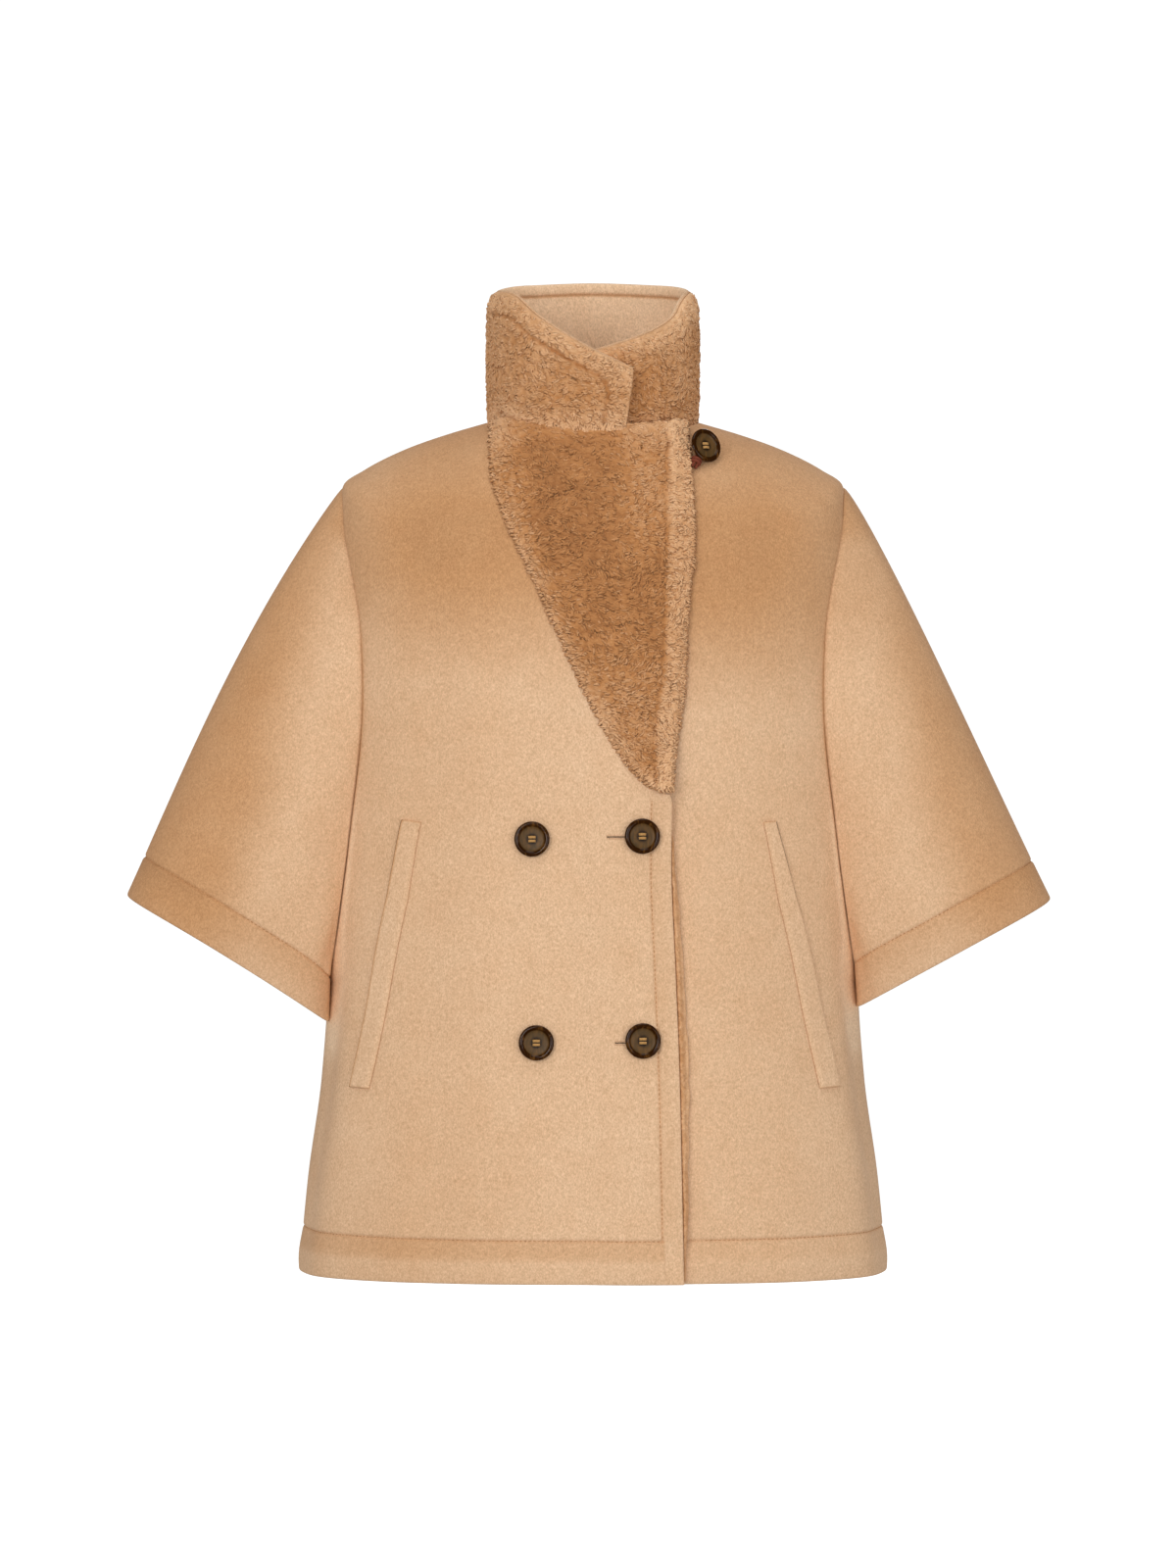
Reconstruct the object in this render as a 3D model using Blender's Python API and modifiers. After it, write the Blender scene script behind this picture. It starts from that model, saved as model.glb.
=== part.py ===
"""Wool cape jacket with a curly fur collar and lapel, filled out as if it were worn.

Metres, +Z up. The front faces -Y and the wearer's right side is at -X. The origin is in
the middle of the neck, level with the points where the neckline meets the shoulders.

The torso is one smooth tube, given by a short table of sections. Every panel, the lapel,
the facing and the welts are stretches of that tube, each at its own height over it. The
sleeves run from the armholes to the cuffs, and the collar is a ring whose right end laps
over its left end.

Run with: blender --background --python part.py
"""

import math

import bmesh
import bpy
import numpy as np
from mathutils import Matrix, Vector

# Cloth and gaps
WOOL = 0.003              # double-faced coat cloth
FUR_BACKING = 0.003       # backing and the dense foot of the pile
FUR_PILE = 0.005          # how far the pile stands over the wool beside it
FACING = 0.005            # fur facing under the front edge, pressed flat
WELT = 0.002              # how far a pocket welt stands out
SEAM = 0.0003             # gap between pieces that are sewn together
LAYER = 0.0008            # gap between cloths that lie on each other
SQUARENESS = 2.4          # 2 is an ellipse, more is squarer
ON_SIDE = 1e-8            # cosine of an angle that lies on a side or shoulder seam
SHOULDER_FALL = 1.5       # how roundly the shoulder falls to the front and back

# The torso from the neckline (at 0) to the hem (at 1): how wide, how deep in front and
# behind, and how high each section passes at the side, in front and behind.
TORSO_COLUMNS = ("at", "half_width", "side_z", "front", "front_z", "back", "back_z")
TORSO = (
    (0.000, 0.0870, 0.000, 0.072, -0.016, 0.070, 0.010),
    (0.050, 0.1180, -0.009, 0.088, -0.042, 0.091, -0.006),
    (0.100, 0.1520, -0.021, 0.100, -0.068, 0.105, -0.031),
    (0.155, 0.1860, -0.038, 0.110, -0.097, 0.117, -0.065),
    (0.200, 0.2040, -0.052, 0.116, -0.120, 0.124, -0.094),
    (0.260, 0.2085, -0.100, 0.122, -0.153, 0.129, -0.137),
    (0.350, 0.2085, -0.175, 0.127, -0.214, 0.132, -0.205),
    (0.467, 0.2105, -0.280, 0.131, -0.304, 0.134, -0.300),
    (0.550, 0.2135, -0.340, 0.134, -0.360, 0.136, -0.358),
    (0.620, 0.2155, -0.390, 0.137, -0.408, 0.138, -0.406),
    (0.700, 0.2160, -0.455, 0.140, -0.466, 0.141, -0.465),
    (0.790, 0.2208, -0.530, 0.144, -0.535, 0.145, -0.535),
    (0.900, 0.2320, -0.612, 0.149, -0.613, 0.150, -0.614),
    (1.000, 0.2395, -0.689, 0.152, -0.686, 0.153, -0.690),
)

# Armholes: the angle from the front's middle, or from the back's, where the panel ends
ARMHOLE_COLUMNS = ("at", "angle")
ARMHOLE = (
    (0.200, 90.0),
    (0.210, 82.0),
    (0.235, 75.0),
    (0.270, 67.5),
    (0.330, 61.0),
    (0.400, 59.5),
    (0.500, 63.0),
    (0.600, 67.0),
    (0.660, 73.0),
    (0.688, 80.0),
    (0.700, 90.0),
)
ARMHOLE_TOP, ARMHOLE_FOOT = ARMHOLE[0][0], ARMHOLE[-1][0]
ARMHOLE_CROWDING = 0.4    # how much closer the sections lie at the armhole's two ends

# Edges on the front, as the distance from the middle at each height
EDGE_COLUMNS = ("z", "x")
LAPEL_SEAM = (
    (-0.700, 0.080),
    (-0.306, 0.062),
    (-0.296, 0.042),
    (-0.264, 0.016),
    (-0.225, -0.005),
    (-0.176, -0.028),
    (-0.134, -0.047),
    (-0.081, -0.071),
    (-0.047, -0.081),
    (0.020, -0.082),
)
RIGHT_FRONT_EDGE = (
    (-0.700, 0.0705),
    (-0.602, 0.0685),
    (-0.521, 0.0667),
    (-0.440, 0.0637),
    (-0.360, 0.0607),
    (-0.304, 0.0615),
    (-0.264, 0.0650),
    (-0.224, 0.0710),
    (-0.152, 0.0750),
    (-0.102, 0.0800),
    (-0.051, 0.0780),
    (0.000, 0.0740),
)
LEFT_FRONT_EDGE = (
    (-0.700, -0.075),
    (-0.200, -0.075),
    (-0.120, -0.062),
    (-0.050, -0.040),
    (0.020, -0.030),
)
FACING_SHOWS = (
    (-0.700, 0.007),
    (-0.640, 0.010),
    (-0.586, 0.0135),
    (-0.525, 0.0145),
    (-0.448, 0.0135),
    (-0.371, 0.0100),
    (-0.317, 0.0050),
    (-0.300, 0.0030),
)
LAPEL_TIP_Z = -0.304
LAPEL_TIP_GAP = 0.006     # the share of the torso's height between the lapel's end and tip
LAPEL_GAP = 0.0012        # between the wool and the lapel's fur at their slanted seam
FACING_WIDTH = 0.030      # hidden part of the facing behind the front edge
FACING_END = 0.997        # the section where the facing ends, just above the hem
THIN_EDGE = 0.6           # the height of a facing's or welt's edge, as a share of its middle
PILE_AT_EDGE = 0.45       # the pile's height along the fur's edges, as a share of its middle
PILE_EDGE_WIDTH = 0.12    # how far in the pile reaches its full height, as a share

# How the right front rises from its side seam to lie over what is under it
OVER_LEFT_FROM, OVER_LEFT_SPAN = -0.135, 0.050    # x where it rises over the left front
SIDE_SHARE = 0.3          # and the share of the half width by which it does near the side
SIDE_UNTIL = -0.030
OVER_FACING_FROM, OVER_FACING_SPAN = 0.085, 0.045   # distances from its front edge
LAPEL_FOOT_SPAN = 0.060   # height of the slope over the facing, above the lapel's tip

# Sections that the panels share, so that their seams meet point to point
SHOULDER_CELLS, ARMHOLE_CELLS, SKIRT_CELLS = 6, 16, 8
PANEL_CELLS, BACK_CELLS, LAPEL_CELLS, FACING_CELLS = 14, 18, 10, 4     # across each piece

# Sleeves
CUFF_INNER_X = 0.2125     # where the cuff's front line ends, in front of the torso's side
CUFF_CORNER = 0.30        # how much squarer the cuff is at its inner end
CUFF_ARCH = 0.005         # how far the cuff's front and back middles are raised
CUFF_DEPTH = 0.078        # from the cuff's middle to its front
CUFF_SQUARENESS = 0.75
SLEEVE_CELLS = 11
SLEEVE_START = 0.0006     # gap at the armhole seam
SLEEVE_PROUD = 0.0006     # how far the sleeve's edge stands over the torso's face
SLEEVE_PROUD_FROM = 0.15  # from this share of the armhole down

# Each sleeve: name, side, the cuff's tip in x and z, the z of its inner end, how far its
# top line bows outward, and where along the sleeve the bow is largest
SLEEVES = (
    ("right", -1, 0.3792, -0.385, -0.487, 0.0115, 0.42),
    ("left", 1, 0.3725, -0.388, -0.475, 0.0060, 0.26),
)
SLEEVE_BULGE = 0.008      # how far the sleeve's front and back stand out of their chords
UNDERARM_ROOM = 0.0022    # how far the underarm keeps off the torso, and as much again
UNDERARM_SPAN = 6         # the first of these is reached in one part of the sleeve in 6
UNDERARM_FROM = -0.3      # cosine of the turn where the underarm starts

# Collar: a ring that starts under the lap, goes round by the left side and the back,
# and ends on top of the lap
COLLAR_START, COLLAR_END = -14.0, 380.0
COLLAR_END_SLANT = 4.0    # degrees by which the end's foot stays behind its rim
COLLAR_SIDE, COLLAR_SIDE_RIM = 0.0855, 0.0868       # at the foot, inside the neckline
COLLAR_FRONT, COLLAR_FRONT_RIM = 0.0690, 0.0740
COLLAR_BACK, COLLAR_BACK_RIM = 0.0672, 0.0730
COLLAR_FLARE = 0.030      # the collar reaches its full width this far up
COLLAR_LAP = 0.0122       # how far the top end lies out over the under end
COLLAR_LAP_FROM, COLLAR_LAP_TO = 284.0, 342.0
COLLAR_RISE = 0.0085      # how far the lapped end's foot rises over the lapel
COLLAR_RISE_SPAN = 13.0
COLLAR_SUNK = 0.002       # how far the foot stands down inside the neckline
COLLAR_COLUMNS, COLLAR_ROWS = 32, 5
RIM_COLUMNS = ("angle", "z")
COLLAR_RIM = (
    (-14.0, 0.047),
    (0.0, 0.0525),
    (33.0, 0.068),
    (56.0, 0.084),
    (66.0, 0.097),
    (78.0, 0.104),
    (90.0, 0.107),
    (135.0, 0.116),
    (180.0, 0.120),
    (225.0, 0.116),
    (270.0, 0.107),
    (300.0, 0.103),
    (312.0, 0.099),
    (333.0, 0.078),
    (363.0, 0.050),
    (374.0, 0.0425),
    (380.0, 0.0380),
)
RIM_ROUND = 0.0045        # how far the fur draws in at the rim
RIM_ROUND_FROM = 0.7      # from this share of the collar's height
RIM_ROLL = 0.0015         # how far the wool inside stands over the fur's rim

# Pocket welts: where the middle of each end lies
WELT_WIDTH = 0.014
WELT_TOP = (39.1, 0.5055)       # angle and section
WELT_FOOT = (55.1, 0.795)
WELT_CELLS, WELT_STRIPS = 10, 3

# Buttons: the profile is the radius at each height
BUTTON_PROFILE = (
    (0.0000, 0.0026),
    (0.0092, 0.0026),
    (0.0104, 0.0034),
    (0.0116, 0.0044),
    (0.0130, 0.0043),
    (0.0140, 0.0030),
    (0.0134, 0.0014),
    (0.0100, 0.0003),
    (0.0000, 0.0000),
)
BUTTON_STEPS = 18
BUTTON_HOLES, BUTTON_HOLE, BUTTON_HOLE_SPREAD = 4, 0.0010, 0.0021
BUTTON_HOLE_FLOOR = 0.0012      # where the holes end in the button with a shank
CUTTER_LENGTH = 0.02
FRONT_BUTTONS = (("button_1", -0.0475, -0.338), ("button_2", 0.0380, -0.336),
                 ("button_3", -0.0440, -0.4975), ("button_4", 0.0383, -0.496))
NECK_BUTTON = (0.0868, -0.030)
NECK_BUTTON_FACES = (0.55, -0.80, 0.25)
NECK_SHANK = 0.0075
NECK_SHANK_RADIUS = 0.0022
LOOP_RADIUS, LOOP_CORD = 0.0046, 0.0011
LOOP_UNDER_FACE = 0.0023  # how far under the button's back the loop lies
LOOP_HALF_TURN, LOOP_POINTS = 125.0, 13

WOOL_COLOUR = (0.66, 0.42, 0.25)
FUR_COLOUR = (0.46, 0.22, 0.09)
HORN_COLOUR = (0.035, 0.022, 0.014)
CORD_COLOUR = (0.30, 0.09, 0.04)


# Curves through the tables

def smooth_curve(table, columns, x_name, y_name):
    """A smooth function through two columns of a table, without overshoot between rows."""
    xs = np.array([row[columns.index(x_name)] for row in table])
    ys = np.array([row[columns.index(y_name)] for row in table])
    steps = np.diff(xs)
    slopes = np.diff(ys) / steps
    tangents = np.concatenate(([slopes[0]], np.zeros(len(xs) - 2), [slopes[-1]]))
    for i in range(1, len(xs) - 1):
        if slopes[i - 1] * slopes[i] > 0:
            before, after = 2 * steps[i] + steps[i - 1], steps[i] + 2 * steps[i - 1]
            tangents[i] = (before + after) / (before / slopes[i - 1] + after / slopes[i])

    def value(x):
        x = min(max(x, xs[0]), xs[-1])
        i = int(min(max(np.searchsorted(xs, x) - 1, 0), len(steps) - 1))
        t = (x - xs[i]) / steps[i]
        ends = (1 + 2 * t) * (1 - t) ** 2 * ys[i] + t * t * (3 - 2 * t) * ys[i + 1]
        bend = t * (1 - t) ** 2 * tangents[i] - t * t * (1 - t) * tangents[i + 1]
        return float(ends + bend * steps[i])

    return value


def ease(x):
    """0 below 0, 1 above 1, and a soft step between."""
    x = min(max(x, 0.0), 1.0)
    return x * x * (3 - 2 * x)


def power(value, exponent):
    """A power that keeps the sign."""
    return math.copysign(abs(value) ** exponent, value)


torso_part = {name: smooth_curve(TORSO, TORSO_COLUMNS, "at", name) for name in TORSO_COLUMNS[1:]}
armhole_angle = smooth_curve(ARMHOLE, ARMHOLE_COLUMNS, "at", "angle")
lapel_seam_x = smooth_curve(LAPEL_SEAM, EDGE_COLUMNS, "z", "x")
right_edge_x = smooth_curve(RIGHT_FRONT_EDGE, EDGE_COLUMNS, "z", "x")
left_edge_x = smooth_curve(LEFT_FRONT_EDGE, EDGE_COLUMNS, "z", "x")
facing_shows = smooth_curve(FACING_SHOWS, EDGE_COLUMNS, "z", "x")
collar_rim_z = smooth_curve(COLLAR_RIM, RIM_COLUMNS, "angle", "z")


# The torso's surface

def torso(angle, at):
    """The torso's outer face: angle 0 is the front, 90 the left side, 180 the back."""
    s, c = math.sin(math.radians(angle)), math.cos(math.radians(angle))
    face = "front" if c >= 0 else "back"
    depth, middle_z = torso_part[face](at), torso_part[face + "_z"](at)
    side_z = torso_part["side_z"](at)
    x = torso_part["half_width"](at) * power(s, 2 / SQUARENESS)
    y = -depth * power(c, 2 / SQUARENESS)
    z = side_z + (middle_z - side_z) * abs(c) ** SHOULDER_FALL
    return np.array((x, y, z))


def unit(vector):
    return vector / np.linalg.norm(vector)


def torso_normal(angle, at):
    """Unit vector out of the torso's face."""
    turn, drop = 0.6, 0.004
    along = torso(angle + turn, at) - torso(angle - turn, at)
    down = torso(angle, min(at + drop, 1.0)) - torso(angle, max(at - drop, 0.0))
    return unit(np.cross(down, along))


def over_torso(angle, at, height):
    return torso(angle, at) + torso_normal(angle, at) * height


def angle_at(x, at):
    """The front angle where a section passes x."""
    share = min(abs(x) / torso_part["half_width"](at), 1.0)
    return math.copysign(math.degrees(math.asin(share ** (SQUARENESS / 2))), x)


def angle_on_edge(edge_x, at, shift=0.0):
    """The front angle where a section crosses an edge given as x at each height."""
    z = torso_part["front_z"](at)
    for _ in range(12):
        angle = angle_at(edge_x(z) + shift, at)
        z = torso(angle, at)[2]
    return angle


def level_at(x, z):
    """The section that passes the front's point with this x and height."""
    low, high = 0.0, 1.0
    for _ in range(40):
        middle = (low + high) / 2
        above = torso(angle_at(x, middle), middle)[2] > z
        low, high = (middle, high) if above else (low, middle)
    return low


def panel_end(at):
    """How far round a panel reaches: to the shoulder seam, the armhole or the side seam."""
    in_armhole = ARMHOLE_TOP < at < ARMHOLE_FOOT
    return armhole_angle(at) if in_armhole else 90.0


def right_front_lift(angle, at):
    """How far the right front is lifted, to lie over the left front and the fur facing."""
    x, _, z = torso(angle, at)
    over_left = ease((x - OVER_LEFT_FROM) / OVER_LEFT_SPAN)
    if x < SIDE_UNTIL:
        over_left *= ease((1 - abs(x) / torso_part["half_width"](at)) / SIDE_SHARE)
    over_facing = ease((x - right_edge_x(z) + OVER_FACING_FROM) / OVER_FACING_SPAN)
    below_lapel = ease((LAPEL_TIP_Z + LAPEL_FOOT_SPAN - z) / LAPEL_FOOT_SPAN)
    return (WOOL + LAYER) * over_left + (FACING + LAYER) * over_facing * below_lapel


# Building solids

def make_material(name, colour, roughness):
    material = bpy.data.materials.new(name)
    material.use_nodes = True
    shader = material.node_tree.nodes["Principled BSDF"]
    shader.inputs["Base Color"].default_value = (*colour, 1.0)
    shader.inputs["Roughness"].default_value = roughness
    shader.inputs["Metallic"].default_value = 0.0
    return material


def add_object(name, mesh, colour, roughness, collection):
    mesh.materials.clear()
    mesh.materials.append(make_material(name, colour, roughness))
    mesh.shade_smooth()
    mesh.set_sharp_from_angle(angle=math.radians(40))
    obj = bpy.data.objects.new(name, mesh)
    collection.objects.link(obj)
    return obj


def cloth_wall(name, outer, inner, colour, collection):
    """A closed wall of cloth between two grids of points, given row by row."""
    rows, columns = len(outer), len(outer[0])
    bm = bmesh.new()
    grids = [[[bm.verts.new(p) for p in row] for row in grid] for grid in (outer, inner)]
    for grid in grids:
        for i in range(rows - 1):
            for j in range(columns - 1):
                bm.faces.new((grid[i][j], grid[i][j + 1], grid[i + 1][j + 1], grid[i + 1][j]))
    rim = [(0, j) for j in range(columns)] + [(i, columns - 1) for i in range(1, rows)]
    rim += [(rows - 1, j) for j in range(columns - 2, -1, -1)]
    rim += [(i, 0) for i in range(rows - 2, 0, -1)]
    for (i, j), (k, m) in zip(rim, rim[1:] + rim[:1]):
        bm.faces.new((grids[0][i][j], grids[1][i][j], grids[1][k][m], grids[0][k][m]))
    bmesh.ops.recalc_face_normals(bm, faces=bm.faces)
    bmesh.ops.triangulate(bm, faces=bm.faces)
    mesh = bpy.data.meshes.new(name)
    bm.to_mesh(mesh)
    bm.free()
    return add_object(name, mesh, colour, 0.9, collection)


def torso_piece(name, levels, start, end, cells, under, over, colour, collection, seam=0.0):
    """A stretch of the torso's face from the angle start(at) to end(at), between the
    heights under and over. seam moves a point that lies on a side or shoulder seam."""
    outer, inner = [], []
    for at in levels:
        first, last = start(at), end(at)
        for grid, height in ((outer, over), (inner, under)):
            row = []
            for j in range(cells + 1):
                share = j / cells
                angle = first + (last - first) * share
                point = over_torso(angle, at, height(angle, at, share))
                if j in (0, cells) and abs(math.cos(math.radians(angle))) < ON_SIDE:
                    point[1] += seam
                row.append(point)
            grid.append(row)
    return cloth_wall(name, outer, inner, colour, collection)


def armhole_level(share):
    """The section at a share of the way down the armhole, 0 at its top."""
    crowded = share - ARMHOLE_CROWDING * math.sin(2 * math.pi * share) / (2 * math.pi)
    return ARMHOLE_TOP + (ARMHOLE_FOOT - ARMHOLE_TOP) * crowded


def lapel_end():
    """The lowest section of the lapel, just above its tip."""
    return level_at(right_edge_x(LAPEL_TIP_Z), LAPEL_TIP_Z) - LAPEL_TIP_GAP


def shared_levels():
    shoulder = np.linspace(0, ARMHOLE_TOP, SHOULDER_CELLS + 1)
    armhole = [armhole_level(i / ARMHOLE_CELLS) for i in range(ARMHOLE_CELLS + 1)]
    skirt = np.linspace(ARMHOLE_FOOT, 1, SKIRT_CELLS + 1)
    return sorted(float(at) for at in (*shoulder, *armhole[1:], *skirt[1:], lapel_end()))


def pile_edge(share):
    """Fur is lower along its edges, where the pile rounds off."""
    return PILE_AT_EDGE + (1 - PILE_AT_EDGE) * ease(min(share, 1 - share) / PILE_EDGE_WIDTH)


def thin_edge(share):
    """A folded strip is lower along its edges."""
    return THIN_EDGE if share in (0.0, 1.0) else 1.0


# The pieces

def build_panels(collection):
    levels = shared_levels()
    torso_piece("front_right", levels, lambda at: -panel_end(at),
                lambda at: angle_on_edge(wool_edge_x, at), PANEL_CELLS,
                lambda angle, at, share: right_front_lift(angle, at) - WOOL,
                lambda angle, at, share: right_front_lift(angle, at),
                WOOL_COLOUR, collection, -SEAM / 2)
    torso_piece("front_left", levels, lambda at: angle_on_edge(left_edge_x, at), panel_end,
                PANEL_CELLS, lambda angle, at, share: -WOOL, lambda angle, at, share: 0.0,
                WOOL_COLOUR, collection, -SEAM / 2)
    torso_piece("back", levels, lambda at: 180 - panel_end(at), lambda at: 180 + panel_end(at),
                BACK_CELLS, lambda angle, at, share: -WOOL, lambda angle, at, share: 0.0,
                WOOL_COLOUR, collection, SEAM / 2)


def wool_edge_x(z):
    """The right front's inner edge: the lapel's seam, and below its tip the front edge."""
    return min(lapel_seam_x(z), right_edge_x(z))


def build_lapel(collection):
    levels = [at for at in shared_levels() if at <= lapel_end()]
    torso_piece("lapel_fur", levels,
                lambda at: angle_on_edge(lapel_seam_x, at, LAPEL_GAP),
                lambda at: angle_on_edge(right_edge_x, at), LAPEL_CELLS,
                lambda angle, at, share: right_front_lift(angle, at) - FUR_BACKING,
                lambda angle, at, share: right_front_lift(angle, at) + FUR_PILE * pile_edge(share),
                FUR_COLOUR, collection)


def build_facing(collection):
    start = lapel_end() + 2 * LAPEL_TIP_GAP
    levels = [start] + [at for at in shared_levels() if at > start + LAPEL_TIP_GAP]
    levels[-1] = FACING_END

    def shown_edge(z):
        return right_edge_x(z) + facing_shows(z)

    torso_piece("facing_fur", levels, lambda at: angle_on_edge(right_edge_x, at, -FACING_WIDTH),
                lambda at: angle_on_edge(shown_edge, at), FACING_CELLS,
                lambda angle, at, share: LAYER,
                lambda angle, at, share: LAYER + FACING * (thin_edge(share) if share > 0.5 else 1),
                FUR_COLOUR, collection)


def build_welts(collection):
    """Each welt is a strip over its front, slanted down towards the side seam."""
    levels = [float(at) for at in np.linspace(WELT_TOP[1], WELT_FOOT[1], WELT_CELLS + 1)]

    def middle(at):
        share = (at - WELT_TOP[1]) / (WELT_FOOT[1] - WELT_TOP[1])
        return WELT_TOP[0] + (WELT_FOOT[0] - WELT_TOP[0]) * share

    def half_angle(at):
        metres_a_degree = np.linalg.norm(torso(middle(at) + 0.5, at) - torso(middle(at) - 0.5, at))
        return WELT_WIDTH / 2 / metres_a_degree

    for name, side in (("right", -1), ("left", 1)):
        torso_piece("welt_" + name, levels,
                    lambda at, side=side: side * middle(at) - half_angle(at),
                    lambda at, side=side: side * middle(at) + half_angle(at), WELT_STRIPS,
                    lambda angle, at, share: LAYER,
                    lambda angle, at, share: LAYER + WELT * thin_edge(share),
                    WOOL_COLOUR, collection)


def armhole_point(side, around):
    """The armhole's edge: around 0 is the shoulder, 1 the underarm, and past 1 the back."""
    behind = around > 1
    share = 2 - around if behind else around
    at = armhole_level(abs(share))
    behind = behind or share < 0
    angle = panel_end(at)
    angle = side * (180 - angle if behind else angle)
    proud = SLEEVE_PROUD * ease(abs(share) / SLEEVE_PROUD_FROM)
    return over_torso(angle, at, proud)


def torso_side_x(y, z):
    """How far out the torso's side is at this depth and height."""
    low, high = 0.0, 1.0
    for _ in range(30):
        middle = (low + high) / 2
        above = torso_part["side_z"](middle) > z
        low, high = (middle, high) if above else (low, middle)
    depth = torso_part["front" if y < 0 else "back"](low)
    share = min(abs(y) / depth, 1.0)
    return torso_part["half_width"](low) * (1 - share ** SQUARENESS) ** (1 / SQUARENESS)


def cuff_point(side, tip_x, tip_z, inner_z, around):
    """The cuff's edge, an oval from the tip at 0 to the inner end at 1 and round behind."""
    turn = math.pi * around
    share = (1 - math.cos(turn)) / 2
    x = tip_x + (CUFF_INNER_X - tip_x) * share
    z = tip_z + (inner_z - tip_z) * share + CUFF_ARCH * math.sin(turn) ** 2
    y = -CUFF_DEPTH * power(math.sin(turn), CUFF_SQUARENESS - CUFF_CORNER * share)
    return np.array((side * x, y, z))


def sleeve_point(sleeve, around, along):
    """The sleeve's outer face: around the arm, and along from the armhole to the cuff."""
    _, side, tip_x, tip_z, inner_z, bow, bow_peak = sleeve
    start, end = armhole_point(side, around), cuff_point(side, tip_x, tip_z, inner_z, around)
    chord = end - start
    turn = math.pi * around
    upper = max(math.cos(turn), 0.0) ** 2
    peaked = math.sin(math.pi * along ** (math.log(0.5) / math.log(bow_peak)))
    middle = math.sin(math.pi * along)
    up_and_out = unit(np.array((-chord[2] * side, 0.0, abs(chord[0]))))
    forward = np.array((0.0, -math.sin(turn), 0.0))
    point = start + chord * along
    point += up_and_out * bow * upper * peaked + forward * SLEEVE_BULGE * middle
    if math.cos(turn) < UNDERARM_FROM:
        room = SLEEVE_START + UNDERARM_ROOM * (ease(along * UNDERARM_SPAN) + along)
        clear_x = torso_side_x(point[1], point[2]) + room
        point[0] = side * max(abs(point[0]), clear_x)
    return point


def sleeve_normal(sleeve, around, along):
    step = 0.004
    across = sleeve_point(sleeve, around + step, along) - sleeve_point(sleeve, around - step, along)
    down = (sleeve_point(sleeve, around, min(along + step, 1.0))
            - sleeve_point(sleeve, around, max(along - step, 0.0)))
    return unit(np.cross(across, down)) * sleeve[1]


def build_sleeves(collection):
    for sleeve in SLEEVES:
        for half, first in (("front", 0.0), ("back", 1.0)):
            outer, inner = [], []
            for i in range(ARMHOLE_CELLS + 1):
                around = first + i / ARMHOLE_CELLS
                length = np.linalg.norm(sleeve_point(sleeve, around, 1.0)
                                        - sleeve_point(sleeve, around, 0.0))
                gap = SLEEVE_START / length
                on_seam = i in (0, ARMHOLE_CELLS)
                shift = (-SEAM / 2 if half == "front" else SEAM / 2) if on_seam else 0.0
                rows = [[], []]
                for j in range(SLEEVE_CELLS + 1):
                    along = gap + (1 - gap) * j / SLEEVE_CELLS
                    point = sleeve_point(sleeve, around, along)
                    normal = sleeve_normal(sleeve, around, along)
                    for row, depth in zip(rows, (0.0, WOOL)):
                        place = point - normal * depth
                        place[1] += shift
                        row.append(place)
                outer.append(rows[0])
                inner.append(rows[1])
            cloth_wall(f"sleeve_{sleeve[0]}_{half}", outer, inner, WOOL_COLOUR, collection)


def collar_lap(angle):
    return ease((angle - COLLAR_LAP_FROM) / (COLLAR_LAP_TO - COLLAR_LAP_FROM))


def collar_point(angle, up, inward):
    """A point of the collar: round the neck, up from its foot, and inward from its fur."""
    turn = math.radians(angle)
    s, c = math.sin(turn), math.cos(turn)
    neckline_z = torso(angle, 0.0)[2]
    rise = ease((angle - COLLAR_LAP_FROM) / COLLAR_RISE_SPAN)
    foot_z = neckline_z - COLLAR_SUNK + COLLAR_RISE * rise
    z = foot_z + (collar_rim_z(angle) - foot_z) * up
    flare = ease((z - neckline_z + COLLAR_SUNK) / COLLAR_FLARE)
    foot, rim = (COLLAR_FRONT, COLLAR_FRONT_RIM) if c >= 0 else (COLLAR_BACK, COLLAR_BACK_RIM)
    depth = foot + (rim - foot) * flare
    half_width = COLLAR_SIDE + (COLLAR_SIDE_RIM - COLLAR_SIDE) * flare
    out = unit(np.array((s / half_width, -c / depth, 0.0)))
    place = np.array((half_width * s, -depth * c, z))
    return place + out * (COLLAR_LAP * collar_lap(angle) - inward)


def build_collar(collection):
    """The collar's fur, and the wool inside it, whose rolled edge tops the rim."""
    fur = FUR_BACKING + FUR_PILE
    layers = (("collar_fur", 0.0, fur, 0.0, FUR_COLOUR),
              ("collar_wool", fur + SEAM, fur + SEAM + WOOL, RIM_ROLL, WOOL_COLOUR))
    for name, outside, inside, roll, colour in layers:
        outer, inner = [], []
        for j in range(COLLAR_ROWS + 1):
            up = j / COLLAR_ROWS
            end = COLLAR_END - COLLAR_END_SLANT * (1 - up)
            drawn_in = RIM_ROUND * ease((up - RIM_ROUND_FROM) / (1 - RIM_ROUND_FROM))
            round_off = drawn_in if name == "collar_fur" else 0.0
            for grid, inward in ((outer, outside + round_off), (inner, inside)):
                row = []
                for i in range(COLLAR_COLUMNS + 1):
                    angle = COLLAR_START + (end - COLLAR_START) * i / COLLAR_COLUMNS
                    point = collar_point(angle, up, inward)
                    point[2] += roll * up
                    row.append(point)
                grid.append(row)
        cloth_wall(name, outer, inner, colour, collection)


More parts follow.
